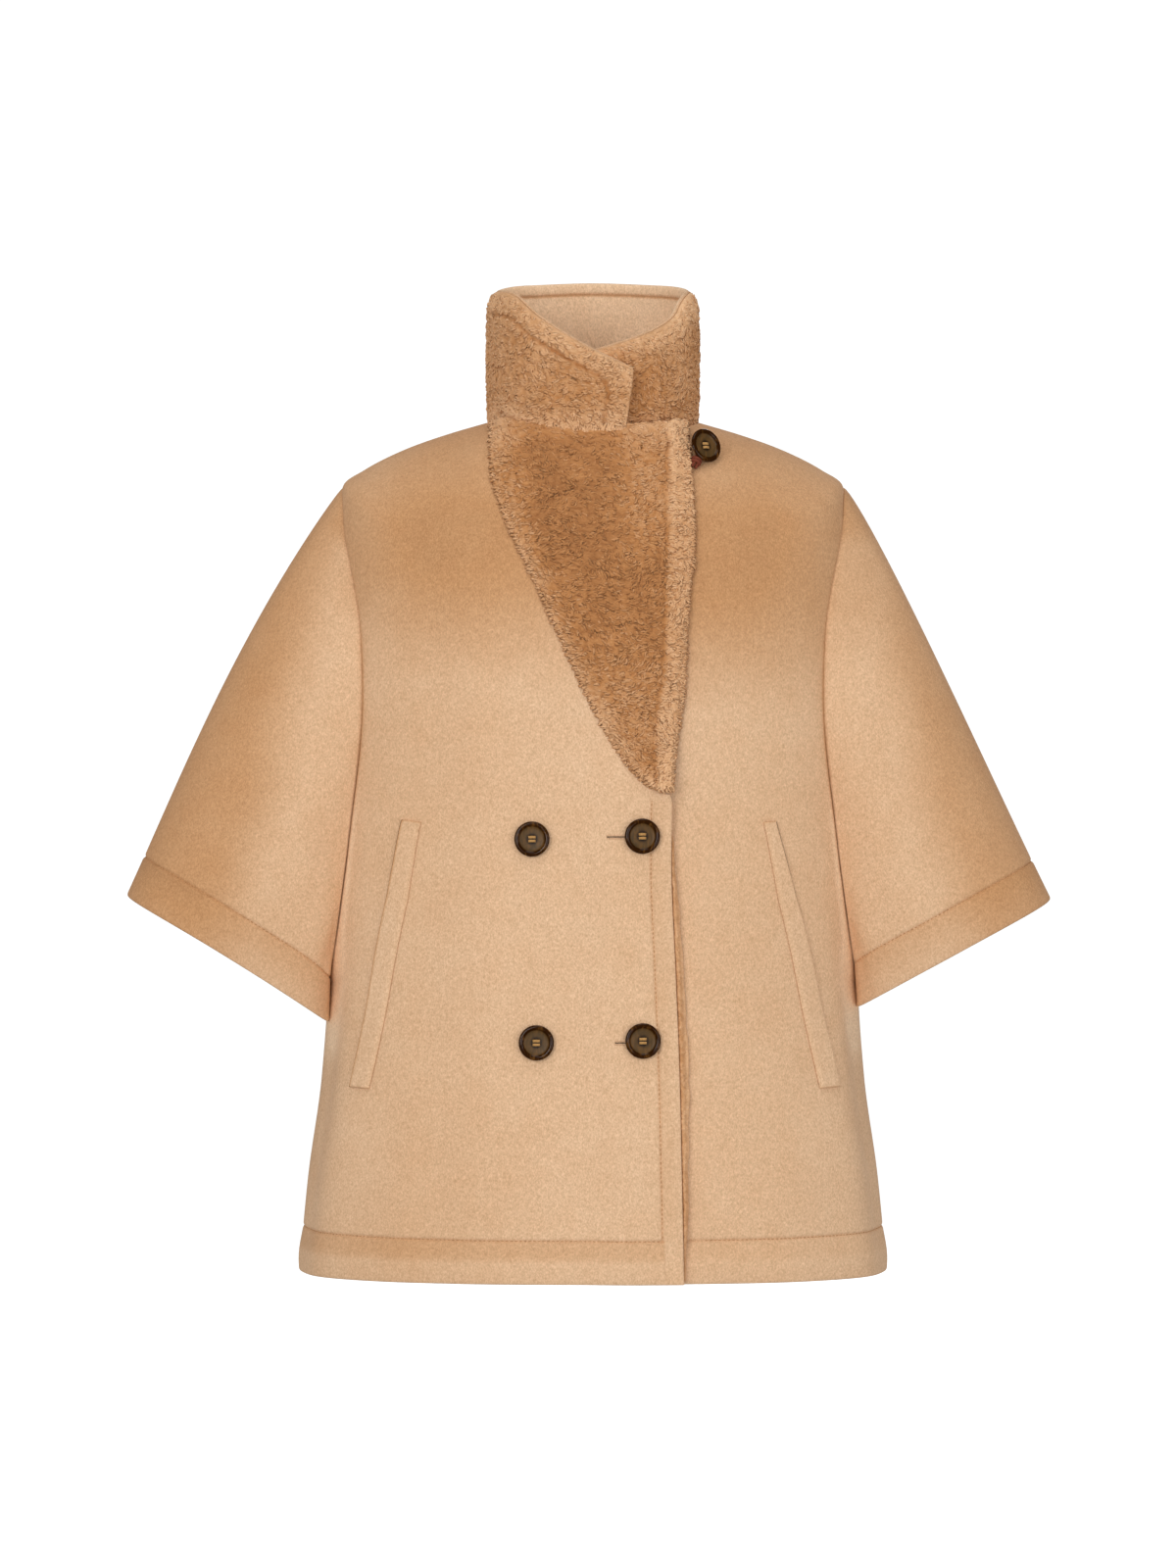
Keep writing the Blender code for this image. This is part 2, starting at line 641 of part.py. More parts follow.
def button_mesh(name, shank, cutters):
    """A turned button with a raised rim and four holes, its back at the origin."""
    profile = list(BUTTON_PROFILE)
    if shank:
        profile[-1:] = [(NECK_SHANK_RADIUS, 0.0), (NECK_SHANK_RADIUS, -shank), (0.0, -shank)]
    mesh = bpy.data.meshes.new(name)
    points = [(radius, 0.0, height) for radius, height in profile]
    mesh.from_pydata(points, [(i, i + 1) for i in range(len(points) - 1)], [])
    turned = bpy.data.objects.new(name + "_turned", mesh)
    cutters.objects.link(turned)
    screw = turned.modifiers.new("turn", "SCREW")
    screw.steps = screw.render_steps = BUTTON_STEPS
    screw.use_merge_vertices = True
    screw.merge_threshold = 0.00001
    screw.use_smooth_shade = True
    middle_z = BUTTON_HOLE_FLOOR + CUTTER_LENGTH / 2 if shank else 0.0
    for i in range(BUTTON_HOLES):
        corner = 2 * math.pi * (i + 0.5) / BUTTON_HOLES
        place = (BUTTON_HOLE_SPREAD * math.cos(corner), BUTTON_HOLE_SPREAD * math.sin(corner),
                 middle_z)
        bpy.ops.mesh.primitive_cylinder_add(vertices=6, radius=BUTTON_HOLE, depth=CUTTER_LENGTH,
                                            location=place)
        hole = bpy.context.object
        hole.name = f"{name}_hole_{i}"
        hole.hide_render, hole.display_type = True, "WIRE"
        for owner in hole.users_collection:
            owner.objects.unlink(hole)
        cutters.objects.link(hole)
        cut = turned.modifiers.new(f"hole_{i}", "BOOLEAN")
        cut.object, cut.operation = hole, "DIFFERENCE"
    bpy.context.view_layer.update()
    result = bpy.data.meshes.new_from_object(turned.evaluated_get(
        bpy.context.evaluated_depsgraph_get()))
    bpy.data.objects.remove(turned)
    return result


def facing(place, normal):
    """A transform that puts the origin at place and +Z along normal."""
    turn = Vector(normal).normalized().to_track_quat("Z", "Y").to_matrix().to_4x4()
    return Matrix.Translation(Vector(place)) @ turn


def build_buttons(collection, cutters):
    mesh = button_mesh("button", 0.0, cutters)
    for name, x, z in FRONT_BUTTONS:
        at = level_at(x, z)
        angle = angle_at(x, at)
        height = right_front_lift(angle, at) + SEAM
        button = add_object(name, mesh.copy(), HORN_COLOUR, 0.25, collection)
        button.matrix_world = facing(over_torso(angle, at, height), torso_normal(angle, at))
    bpy.data.meshes.remove(mesh)

    x, z = NECK_BUTTON
    at = level_at(x, z)
    angle = angle_at(x, at)
    height = NECK_SHANK + LAYER
    neck = add_object("button_neck", button_mesh("button_neck", NECK_SHANK, cutters),
                      HORN_COLOUR, 0.25, collection)
    neck.matrix_world = facing(over_torso(angle, at, height), NECK_BUTTON_FACES)
    return neck


def build_loop(neck, collection):
    """The neck loop: a cord from the lapel's edge round the button's shank."""
    curve = bpy.data.curves.new("loop_neck", "CURVE")
    curve.dimensions = "3D"
    curve.bevel_depth, curve.bevel_resolution, curve.use_fill_caps = LOOP_CORD, 2, True
    spline = curve.splines.new("POLY")
    half_turn = math.radians(LOOP_HALF_TURN)
    points = [(LOOP_RADIUS * math.cos(turn), LOOP_RADIUS * math.sin(turn))
              for turn in np.linspace(half_turn, -half_turn, LOOP_POINTS)]
    spline.points.add(len(points) - 1)
    for point, (u, v) in zip(spline.points, points):
        place = neck.matrix_world @ Vector((u, v, -LOOP_UNDER_FACE))
        point.co = (*place, 1.0)
    tube = bpy.data.objects.new("loop_curve", curve)
    collection.objects.link(tube)
    bpy.context.view_layer.update()
    mesh = bpy.data.meshes.new_from_object(tube.evaluated_get(
        bpy.context.evaluated_depsgraph_get()))
    bpy.data.objects.remove(tube)
    bm = bmesh.new()
    bm.from_mesh(mesh)
    bmesh.ops.remove_doubles(bm, verts=bm.verts, dist=0.00001)
    bm.to_mesh(mesh)
    bm.free()
    add_object("loop_neck", mesh, CORD_COLOUR, 0.7, collection)


def main():
    for obj in list(bpy.data.objects):
        bpy.data.objects.remove(obj)
    garment = bpy.data.collections.new("wool_cape")
    cutters = bpy.data.collections.new("cutters")
    for collection in (garment, cutters):
        bpy.context.scene.collection.children.link(collection)
    build_panels(garment)
    build_lapel(garment)
    build_facing(garment)
    build_welts(garment)
    build_sleeves(garment)
    build_collar(garment)
    neck = build_buttons(garment, cutters)
    build_loop(neck, garment)


main()
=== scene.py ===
"""Looks of the wool cape: brushed camel cloth, curly fur, horn buttons and their sewing.

Metres, +Z up, in the frame of the solids. The front faces -Y and the wearer's right side
is at -X. Every piece of cloth is a thin shell on the same surface as its solid, finer and
with its creases, hems and seams. The fur is a pile of ridges with loose locks on it.
"""

import itertools
import math

import bmesh
import bpy
import numpy as np
from mathutils import Matrix, Vector


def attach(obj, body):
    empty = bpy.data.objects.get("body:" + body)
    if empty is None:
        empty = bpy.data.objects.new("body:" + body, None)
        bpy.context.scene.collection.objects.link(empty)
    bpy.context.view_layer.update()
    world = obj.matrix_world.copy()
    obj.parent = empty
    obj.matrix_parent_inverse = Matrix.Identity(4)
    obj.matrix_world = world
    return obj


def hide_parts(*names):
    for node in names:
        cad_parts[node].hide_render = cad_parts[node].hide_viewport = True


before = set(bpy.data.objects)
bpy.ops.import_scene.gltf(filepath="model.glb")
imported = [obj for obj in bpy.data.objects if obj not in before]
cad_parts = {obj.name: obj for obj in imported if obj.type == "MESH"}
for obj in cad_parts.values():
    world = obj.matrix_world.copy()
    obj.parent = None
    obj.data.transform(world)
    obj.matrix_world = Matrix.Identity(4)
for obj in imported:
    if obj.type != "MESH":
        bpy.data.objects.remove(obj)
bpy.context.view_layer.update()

# Cloth and gaps
WOOL = 0.003
FUR_BACKING, FUR_PILE = 0.003, 0.005
FACING = 0.005
SEAM, LAYER = 0.0003, 0.0008
SQUARENESS = 2.4
SHOULDER_FALL = 1.5

# The torso from the neckline (at 0) to the hem (at 1)
TORSO_COLUMNS = ("half_width", "side_z", "front", "front_z", "back", "back_z")     # after at
TORSO = (
    (0.000, 0.0870, 0.000, 0.072, -0.016, 0.070, 0.010),
    (0.050, 0.1180, -0.009, 0.088, -0.042, 0.091, -0.006),
    (0.100, 0.1520, -0.021, 0.100, -0.068, 0.105, -0.031),
    (0.155, 0.1860, -0.038, 0.110, -0.097, 0.117, -0.065),
    (0.200, 0.2040, -0.052, 0.116, -0.120, 0.124, -0.094),
    (0.260, 0.2085, -0.100, 0.122, -0.153, 0.129, -0.137),
    (0.350, 0.2085, -0.175, 0.127, -0.214, 0.132, -0.205),
    (0.467, 0.2105, -0.280, 0.131, -0.304, 0.134, -0.300),
    (0.550, 0.2135, -0.340, 0.134, -0.360, 0.136, -0.358),
    (0.620, 0.2155, -0.390, 0.137, -0.408, 0.138, -0.406),
    (0.700, 0.2160, -0.455, 0.140, -0.466, 0.141, -0.465),
    (0.790, 0.2208, -0.530, 0.144, -0.535, 0.145, -0.535),
    (0.900, 0.2320, -0.612, 0.149, -0.613, 0.150, -0.614),
    (1.000, 0.2395, -0.689, 0.152, -0.686, 0.153, -0.690),
)
ARMHOLE = (     # section, angle
    (0.200, 90.0), (0.210, 82.0), (0.235, 75.0), (0.270, 67.5), (0.330, 61.0), (0.400, 59.5),
    (0.500, 63.0), (0.600, 67.0), (0.660, 73.0), (0.688, 80.0), (0.700, 90.0),
)
ARMHOLE_TOP, ARMHOLE_FOOT = ARMHOLE[0][0], ARMHOLE[-1][0]
ARMHOLE_CROWDING = 0.4

# Edges on the front: height, distance from the middle
LAPEL_SEAM = (
    (-0.700, 0.080), (-0.306, 0.062), (-0.296, 0.042), (-0.264, 0.016), (-0.225, -0.005),
    (-0.176, -0.028), (-0.134, -0.047), (-0.081, -0.071), (-0.047, -0.081), (0.020, -0.082),
)
RIGHT_FRONT_EDGE = (
    (-0.700, 0.0705), (-0.602, 0.0685), (-0.521, 0.0667), (-0.440, 0.0637), (-0.360, 0.0607),
    (-0.304, 0.0615), (-0.264, 0.0650), (-0.224, 0.0710), (-0.152, 0.0750), (-0.102, 0.0800),
    (-0.051, 0.0780), (0.000, 0.0740),
)
LEFT_FRONT_EDGE = (
    (-0.700, -0.075), (-0.200, -0.075), (-0.120, -0.062), (-0.050, -0.040), (0.020, -0.030),
)
FACING_SHOWS = (
    (-0.700, 0.007), (-0.640, 0.010), (-0.586, 0.0135), (-0.525, 0.0145), (-0.448, 0.0135),
    (-0.371, 0.0100), (-0.317, 0.0050), (-0.300, 0.0030),
)
LAPEL_GROOVE = (
    (-0.306, 0.0500), (-0.264, 0.0477), (-0.234, 0.0508), (-0.204, 0.0547), (-0.126, 0.0571),
    (-0.077, 0.0582), (0.000, 0.0590),
)
LAPEL_TIP_Z = -0.304
LAPEL_TIP_GAP = 0.006
LAPEL_GAP = 0.0002
FACING_WIDTH = 0.030
FACING_END = 0.997
FACING_RISE = 0.0030      # how far its pile rises beside the front edge
PILE_AT_EDGE, PILE_EDGE_WIDTH = 0.45, 0.12
OVER_LEFT_FROM, OVER_LEFT_SPAN = -0.135, 0.050
SIDE_SHARE, SIDE_UNTIL = 0.3, -0.030
OVER_FACING_FROM, OVER_FACING_SPAN = 0.085, 0.045
LAPEL_FOOT_SPAN = 0.060
LAPEL_TOP_SPAN = 0.018     # below the collar, where the lapel's pile stands higher

# Sleeves
CUFF_INNER_X = 0.2125
CUFF_CORNER = 0.30
CUFF_ARCH = 0.005
CUFF_DEPTH = 0.078
CUFF_SQUARENESS = 0.75
SLEEVES = (     # name, side, the cuff's tip in x and z, its inner end's z, bow, the bow's peak
    ("right", -1, 0.3792, -0.385, -0.487, 0.0115, 0.42),
    ("left", 1, 0.3725, -0.388, -0.475, 0.0060, 0.26),
)
SLEEVE_BULGE = 0.008
UNDERARM_ROOM, UNDERARM_FROM = -0.0016, -0.3       # the sleeve's underside lies on the torso

# Collar
COLLAR_HEIGHT = 0.105
COLLAR_START, COLLAR_END = -14.0, 380.0
COLLAR_END_SLANT = 4.0
COLLAR_SIDE, COLLAR_SIDE_RIM = 0.0855, 0.0868
COLLAR_FRONT, COLLAR_FRONT_RIM = 0.0690, 0.0740
COLLAR_BACK, COLLAR_BACK_RIM = 0.0672, 0.0730
COLLAR_FLARE = 0.030
COLLAR_LAP = 0.0122
COLLAR_LAP_FROM, COLLAR_LAP_TO = 284.0, 342.0
COLLAR_RISE, COLLAR_RISE_SPAN = 0.0085, 13.0
COLLAR_SUNK = 0.002
COLLAR_RIM = (      # angle, height
    (-14.0, 0.047), (0.0, 0.0525), (33.0, 0.068), (56.0, 0.084), (66.0, 0.097), (78.0, 0.104),
    (90.0, 0.107), (135.0, 0.116), (180.0, 0.120), (225.0, 0.116), (270.0, 0.107),
    (300.0, 0.103), (312.0, 0.099), (333.0, 0.078), (363.0, 0.050), (374.0, 0.0425),
    (380.0, 0.0380),
)
RIM_ROUND, RIM_REACH = 0.0050, 0.014      # how far the fur rolls in at its rim
RIM_ROLL = 0.0015
FOOT_REACH = 0.0035       # how far the pile reaches over its seam with the lapel
COLLAR_GROOVE = 0.018     # from the rim and from the lapped end
RIM_BAND = 0.010          # width of the wool's rolled band inside the rim

# Pile and its loose locks
PILE_RELIEF = 0.0008
PILE_ROUND = 0.0045       # how far in from its edges the pile falls away
PILE_SKIP = 4             # its back has every fourth point
CURL_STEPS, CURL_SIDES, CURL_FLAT = 5, 3, 0.28
CURL_TAPER = np.array((0.35, 0.85, 1.0, 0.85, 0.35))
COLLAR_ROWS, COLLAR_COLUMNS, LAPEL_ROWS, FACING_ROWS = 97, 501, 313, 321
COLLAR_LOCKS, LAPEL_LOCKS = 6400, 4900

# Sewing
HEM_STITCH = 0.035        # above the hem, and above the cuffs
EDGE_STITCH = 0.016       # from the front edge
GROOVE_DEPTH, GROOVE_WIDTH = 0.0012, 0.0012
HEM_BULGE = 0.0016
STITCH_PITCH, STITCH_LENGTH, STITCH_RADIUS = 0.0036, 0.0024, 0.00034
CUFF_STITCHES = (("front", 0.02, 0.92), ("back", 1.08, 1.98))      # half, from, to
HEM_PLACES, EDGE_PLACES, CUFF_PLACES = 240, 200, 160      # how finely their lines are drawn
EDGE_ROUND = 0.0016       # how far in from its edges a cloth rounds off
EDGE_LEFT = 0.12          # and how much of its thickness is left there
SEAM_DIP, SEAM_WIDTH = 0.0004, 0.0040       # how deep and wide a seam sinks
TUCK, TUCK_DIP, TUCK_WIDTH = 0.0010, 0.0010, 0.0050     # the sleeve's edge in the armhole
OVERLAP = 0.0001          # how far two sewn panels run into each other
# How deep the painted shade in a seam is, on the nap's scale
SEAM_SHADE = 1.05

# Creases as soft ridges (+) and troughs (-): the angle and section where each starts and
# ends, how wide it is in degrees, and how high. Those of the sides are on both.
SIDE_CREASES = (
    (70.0, 0.56, 78.0, 1.06, 7.0, -0.0030), (60.0, 0.66, 63.0, 1.08, 8.0, 0.0022),
    (110.0, 0.56, 103.0, 1.06, 7.0, -0.0030), (124.0, 0.60, 121.0, 1.08, 8.0, 0.0026),
    (142.0, 0.20, 128.0, 0.52, 6.0, -0.0020), (34.0, 0.84, 35.0, 1.10, 9.0, 0.0016),
)
BACK_CREASES = (
    (180.0, 0.12, 180.0, 0.50, 12.0, -0.0022), (188.0, 0.62, 192.0, 1.10, 8.0, 0.0026),
    (172.0, 0.66, 169.0, 1.10, 7.0, -0.0022), (206.0, 0.50, 212.0, 1.10, 8.0, -0.0024),
    (152.0, 0.54, 148.0, 1.10, 9.0, 0.0024),
)
SLEEVE_CREASES = (      # around and along the sleeve
    (0.30, 0.06, 0.36, 0.90, 0.07, -0.0022), (0.52, 0.20, 0.55, 1.10, 0.08, 0.0020),
    (1.70, 0.06, 1.64, 0.90, 0.07, -0.0026), (1.46, 0.20, 1.42, 1.10, 0.08, 0.0022),
    (0.84, 0.02, 0.80, 0.60, 0.05, -0.0016), (1.16, 0.02, 1.20, 0.60, 0.05, -0.0016),
)

# Where grids have their rows: metres of cloth for one whole step of sections, near the hem
# and the neck, and the places beside an edge and a sewn line
HEM_METRES, NECK_METRES = 0.755, 0.68
PANEL_CELL = 0.0045
CUFF_ROOM = 0.85          # how much of a short stretch of sleeve the cuff's rows may take
AT_EDGE, NEAR_EDGE = np.zeros(1), np.array((0.0, 0.0004, 0.0009, 0.0016, 0.0028))
ROUND_A_LINE = np.array((-0.0030, -0.0020, -0.0012, -0.0006, 0.0, 0.0006, 0.0012, 0.0020, 0.0030))

# Pocket welts
WELT_WIDTH, WELT = 0.014, 0.002
WELT_TOP, WELT_FOOT = (39.1, 0.5055), (55.1, 0.795)
WELT_LENGTH = 0.235
# The pocket's opening is a dark strip of painted shadow, at these heights over the front
MOUTH_SHADOW_HEIGHTS = (0.0007, 0.0001)      # of the pocket's dark line over the front
WELT_SHOWN = 1.75         # how much wider a welt's inner half spreads than its solid
# How far each welt's edges lie from that in x, in mm, at shares of its length
WELT_SHARES = (0.04, 0.32, 0.55, 0.89)
WELT_SHIFTS = {(-1, "outer"): (-0.8, 2.3, 0.8, 0.8), (-1, "inner"): (-3.0, 2.3, 1.6, 1.6),
               (1, "outer"): (-7.0, -5.4, -0.8, 3.1), (1, "inner"): (1.6, -2.3, 0.0, 1.6)}

# Buttons; a profile's row is a radius and a height
BUTTON_PROFILE = (
    (0.0000, 0.0024), (0.0040, 0.0024), (0.0078, 0.0025), (0.0093, 0.0027), (0.0099, 0.0032),
    (0.0106, 0.0040), (0.0114, 0.0044), (0.0124, 0.0044), (0.0133, 0.0040), (0.0139, 0.0032),
    (0.0139, 0.0024), (0.0132, 0.0014), (0.0110, 0.0005), (0.0060, 0.0001), (0.0000, 0.0000),
)
BUTTON_STEPS = 56
BUTTON_HOLES, BUTTON_HOLE, BUTTON_HOLE_SPREAD = 4, 0.0010, 0.0021
BUTTON_FACE, BUTTON_FLOOR = 0.0024, 0.0015      # the face, and the floor of its four holes
CUTTER_LENGTH = 0.02
THREAD_RADIUS, KNOT_RADIUS = 0.00045, 0.0013
FRONT_BUTTONS = (("button_1", -0.0475, -0.338), ("button_2", 0.0380, -0.336),
                 ("button_3", -0.0440, -0.4975), ("button_4", 0.0383, -0.496))
NECK_BUTTON = (0.0868, -0.030)
NECK_BUTTON_FACES = (0.55, -0.80, 0.25)
NECK_SHANK = 0.0075
NECK_SHANK_RADIUS = 0.0022
LOOP_KNOT, LOOP_HIGH, LOOP_TURN = (0.0812, -0.0395), 0.0045, 1.0
BUTTONHOLES = ((0.0108, 0.0380, -0.3365), (0.0170, 0.0383, -0.4975))    # from x, to x, z
BUTTONHOLE_PITCH, BUTTONHOLE_THREAD, BUTTONHOLE_SLIT = 0.00078, 0.00036, 0.00055

# The fold between sleeve and torso under the arm: where it is, and the painted light that makes it
# paler against its shade
FOLD_X, FOLD_TOP, FOLD_SLOPE, FOLD_WIDTH, FOLD_PAINTED_LIGHT = 0.189, -0.2944, 0.1135, 0.0032, -0.70

# Colours, as the eye sees them (sRGB, 0 to 255)
# The wool's tone: its palest colour is painted light in shaded hollows, the light and deep ones
# its nap, the deep one with painted shade high up and at the sides, and the last painted shade in
# seams and beside welts
WOOL_PAINTED_LIGHT, WOOL_LIGHT = (242, 207, 170), (227, 187, 148)
WOOL_DEEP, WOOL_SHADE = (200, 148, 100), (150, 103, 62)
# The pile's tone runs from the deep colour, reached in its gaps as painted shade, to the light one
# along its edges, partly painted light
FUR_LIGHT, FUR_MIDDLE, FUR_DEEP = (238, 190, 144), (194, 133, 78), (140, 84, 38)
HORN_RIM, HORN_DISH, HORN_STREAK = (48, 24, 6), (78, 58, 30), (150, 100, 44)
# The middle colour is painted shade round the button's sunk holes
HORN_MIDDLE_SHADE = (46, 30, 13)
# The slit colour is painted shadow: the dark inside buttonhole slits and pocket openings
THREAD, CORD, SLIT_SHADE = (196, 148, 86), (124, 54, 28), (52, 32, 20)

X_AXIS, Y_AXIS, Z_AXIS = np.eye(3)
materials = {}      # main makes them first


# Curves through the tables

def smooth_curve(table, column=1):
    """A smooth function from a table's first column to another, that doesn't overshoot."""
    xs, ys = np.array([(row[0], row[column]) for row in table]).T
    steps = np.diff(xs)
    slopes = np.diff(ys) / steps
    tangents = np.concatenate(([slopes[0]], np.zeros(len(xs) - 2), [slopes[-1]]))
    for i in range(1, len(xs) - 1):
        if slopes[i - 1] * slopes[i] > 0:
            before, after = 2 * steps[i] + steps[i - 1], steps[i] + 2 * steps[i - 1]
            tangents[i] = (before + after) / (before / slopes[i - 1] + after / slopes[i])

    def value(x):
        x = np.clip(np.asarray(x, float), xs[0], xs[-1])
        i = np.clip(np.searchsorted(xs, x) - 1, 0, len(steps) - 1)
        t = (x - xs[i]) / steps[i]
        ends = (1 + 2 * t) * (1 - t) ** 2 * ys[i] + t * t * (3 - 2 * t) * ys[i + 1]
        bend = t * (1 - t) ** 2 * tangents[i] - t * t * (1 - t) * tangents[i + 1]
        return ends + bend * steps[i]

    return value


def ease(x):
    x = np.clip(x, 0.0, 1.0)
    return x * x * (3 - 2 * x)


def bell(x, width):
    """1 where x is 0, and down to almost 0 two widths away."""
    return np.exp(-(x / width) ** 2)


def power(value, exponent):
    """A power that keeps the sign."""
    return np.sign(value) * np.abs(value) ** exponent


def unit(vectors):
    return vectors / np.linalg.norm(vectors, axis=-1, keepdims=True)


torso_part = {name: smooth_curve(TORSO, k) for k, name in enumerate(TORSO_COLUMNS, 1)}
armhole_angle, lapel_seam_x, right_edge_x, left_edge_x, facing_shows, lapel_groove_x, \
    collar_rim_z = map(smooth_curve, (ARMHOLE, LAPEL_SEAM, RIGHT_FRONT_EDGE, LEFT_FRONT_EDGE,
                                      FACING_SHOWS, LAPEL_GROOVE, COLLAR_RIM))


# Noise, the same in each run

def lattice(cells, seed):
    """A number from 0 to 1 for each whole-number place."""
    n = cells.astype(np.uint32)
    mixed = (n[..., 0] * np.uint32(374761393) + n[..., 1] * np.uint32(668265263)
             + n[..., 2] * np.uint32(2246822519) + np.uint32(seed * 40503 + 17))
    mixed = (mixed ^ (mixed >> np.uint32(13))) * np.uint32(1274126177)
    return ((mixed ^ (mixed >> np.uint32(16))) & np.uint32(0xFFFFFF)) / 0xFFFFFF


def noise(points, size, seed=0):
    """Smooth noise from -1 to 1, with features of that size in metres."""
    places = points / size + 100.0
    base = np.floor(places).astype(np.int64)
    f = places - base
    f = f * f * (3 - 2 * f)
    total = 0.0
    for corner in itertools.product((0, 1), repeat=3):
        corner = np.array(corner)
        weight = np.prod(np.where(corner, f, 1 - f), axis=-1)
        total = total + weight * lattice(base + corner, seed)
    return total * 2 - 1


def noise_vector(points, size, seed):
    return np.stack([noise(points, size, seed + k) for k in range(3)], -1)


# The torso's surface

def torso_depth(in_front, at, what=""):
    """How deep the torso is at the middle of its front or back, or with _z how high."""
    return np.where(in_front, torso_part["front" + what](at), torso_part["back" + what](at))


def torso(angle, at):
    """The torso's outer face: angle 0 is the front, 90 the left side, 180 the back."""
    angle, at = np.broadcast_arrays(np.asarray(angle, float), np.asarray(at, float))
    s, c = np.sin(np.radians(angle)), np.cos(np.radians(angle))
    depth, middle_z = torso_depth(c >= 0, at), torso_depth(c >= 0, at, "_z")
    side_z = torso_part["side_z"](at)
    x = torso_part["half_width"](at) * power(s, 2 / SQUARENESS)
    y = -depth * power(c, 2 / SQUARENESS)
    z = side_z + (middle_z - side_z) * np.abs(c) ** SHOULDER_FALL
    return np.stack((x, y, z), -1)


def torso_normal(angle, at):
    turn, drop = 0.6, 0.004
    along = torso(angle + turn, at) - torso(angle - turn, at)
    down = torso(angle, np.minimum(at + drop, 1.0)) - torso(angle, np.maximum(at - drop, 0.0))
    return unit(np.cross(down, along))


def lifted(points, normals, height):
    """The points, moved out along their normals."""
    return points + normals * np.asarray(height)[..., None]


def over_torso(angle, at, height):
    """A point at a height over the torso, and the way out of it."""
    normal = torso_normal(angle, at)
    return lifted(torso(angle, at), normal, height), normal


def angle_at(x, at):
    """The front angle where a section passes x."""
    share = np.minimum(np.abs(x) / torso_part["half_width"](at), 1.0)
    return np.sign(x) * np.degrees(np.arcsin(share ** (SQUARENESS / 2)))


def angle_on_edge(edge_x, at, shift=0.0):
    """The front angle where a section crosses an edge given as x at each height."""
    z = torso_part["front_z"](at)
    for _ in range(12):
        angle = angle_at(edge_x(z) + shift, at)
        z = torso(angle, at)[..., 2]
    return angle


def by_halves(above, like, steps):
    """The places from 0 to 1, one for each of like, where above turns from true to false."""
    low, high = np.zeros(np.shape(like)), np.ones(np.shape(like))
    for _ in range(steps):
        middle = (low + high) / 2
        still = above(middle)
        low, high = np.where(still, middle, low), np.where(still, high, middle)
    return low


def level_at(x, z):
    """The section that passes the front's point with this x and height."""
    return by_halves(lambda at: torso(angle_at(x, at), at)[..., 2] > z, z, 40)


def front_place(x, z):
    """The angle and section of the front's point with this x and height."""
    at = level_at(x, z)
    return angle_at(x, at), at


def panel_end(at):
    in_armhole = (at > ARMHOLE_TOP) & (at < ARMHOLE_FOOT)
    return np.where(in_armhole, armhole_angle(at), 90.0)


def metres_a_degree(angle, at):
    return np.linalg.norm(torso(angle + 0.5, at) - torso(angle - 0.5, at), axis=-1)


def crease_height(table, place, along, period=360.0):
    """The height of the creases in a table at a place across and along the cloth."""
    total = 0.0
    for start, start_at, end, end_at, width, height in table:
        share = (along - start_at) / (end_at - start_at)
        middle = start + (end - start) * np.clip(share, 0, 1)
        off = np.mod(place - middle + period / 2, period) - period / 2
        fade = ease(share / 0.3) * ease((1 - share) / 0.3)
        total = total + height * fade * bell(off, width)
    return total


def torso_crease(angle, at):
    """Soft folds of the torso, the same for all that lies on it. They fade at the armholes."""
    mirrored = np.abs(np.mod(angle + 180, 360) - 180)
    from_front = np.minimum(mirrored, 180 - mirrored)
    fades = np.maximum(ease((panel_end(at) - from_front) / 14), ease((at - ARMHOLE_FOOT) / 0.06))
    total = crease_height(SIDE_CREASES, mirrored, at) + crease_height(BACK_CREASES, angle, at)
    return total * fades


def right_front_lift(angle, at):
    """How far the right front is lifted, to lie over the left front and the fur facing."""
    place = torso(angle, at)
    x, z = place[..., 0], place[..., 2]
    over_left = ease((x - OVER_LEFT_FROM) / OVER_LEFT_SPAN)
    near_side = ease((1 - np.abs(x) / torso_part["half_width"](at)) / SIDE_SHARE)
    over_left = over_left * np.where(x < SIDE_UNTIL, near_side, 1.0)
    over_facing = ease((x - right_edge_x(z) + OVER_FACING_FROM) / OVER_FACING_SPAN)
    below_lapel = ease((LAPEL_TIP_Z + LAPEL_FOOT_SPAN - z) / LAPEL_FOOT_SPAN)
    return (WOOL + LAYER) * over_left + (FACING + LAYER) * over_facing * below_lapel


def front_height(angle, at):
    """The height of the right front's outer face over the torso."""
    return right_front_lift(angle, at) + torso_crease(angle, at)


def groove(distance, depth=GROOVE_DEPTH, width=GROOVE_WIDTH):
    return -depth * bell(distance, width)


def hem_relief(from_edge):
    """A hem's height: a sewn line, and below it a band that fills out and rolls in."""
    share = np.clip(1 - from_edge / HEM_STITCH, 0, 1)
    return groove(from_edge - HEM_STITCH) + HEM_BULGE * np.sin(np.pi * share ** 1.3)


# Building meshes

def walked(points, axis):
    """The distance walked along each row or column of a grid of points."""
    steps = np.linalg.norm(np.diff(points, axis=axis), axis=-1)
    pad = [(0, 0), (0, 0)]
    pad[axis] = (1, 0)
    return np.pad(np.cumsum(steps, axis=axis), pad)


def edge_distance(points, edges="news"):
    """How far each point of a grid is from its nearest edge; edges names those that count:
    n the first row, s the last, w the first column and e the last."""
    down, across = walked(points, 0), walked(points, 1)
    all_edges = {"n": down, "s": down[-1:] - down, "w": across, "e": across[:, -1:] - across}
    return np.minimum.reduce([all_edges[name] for name in edges])


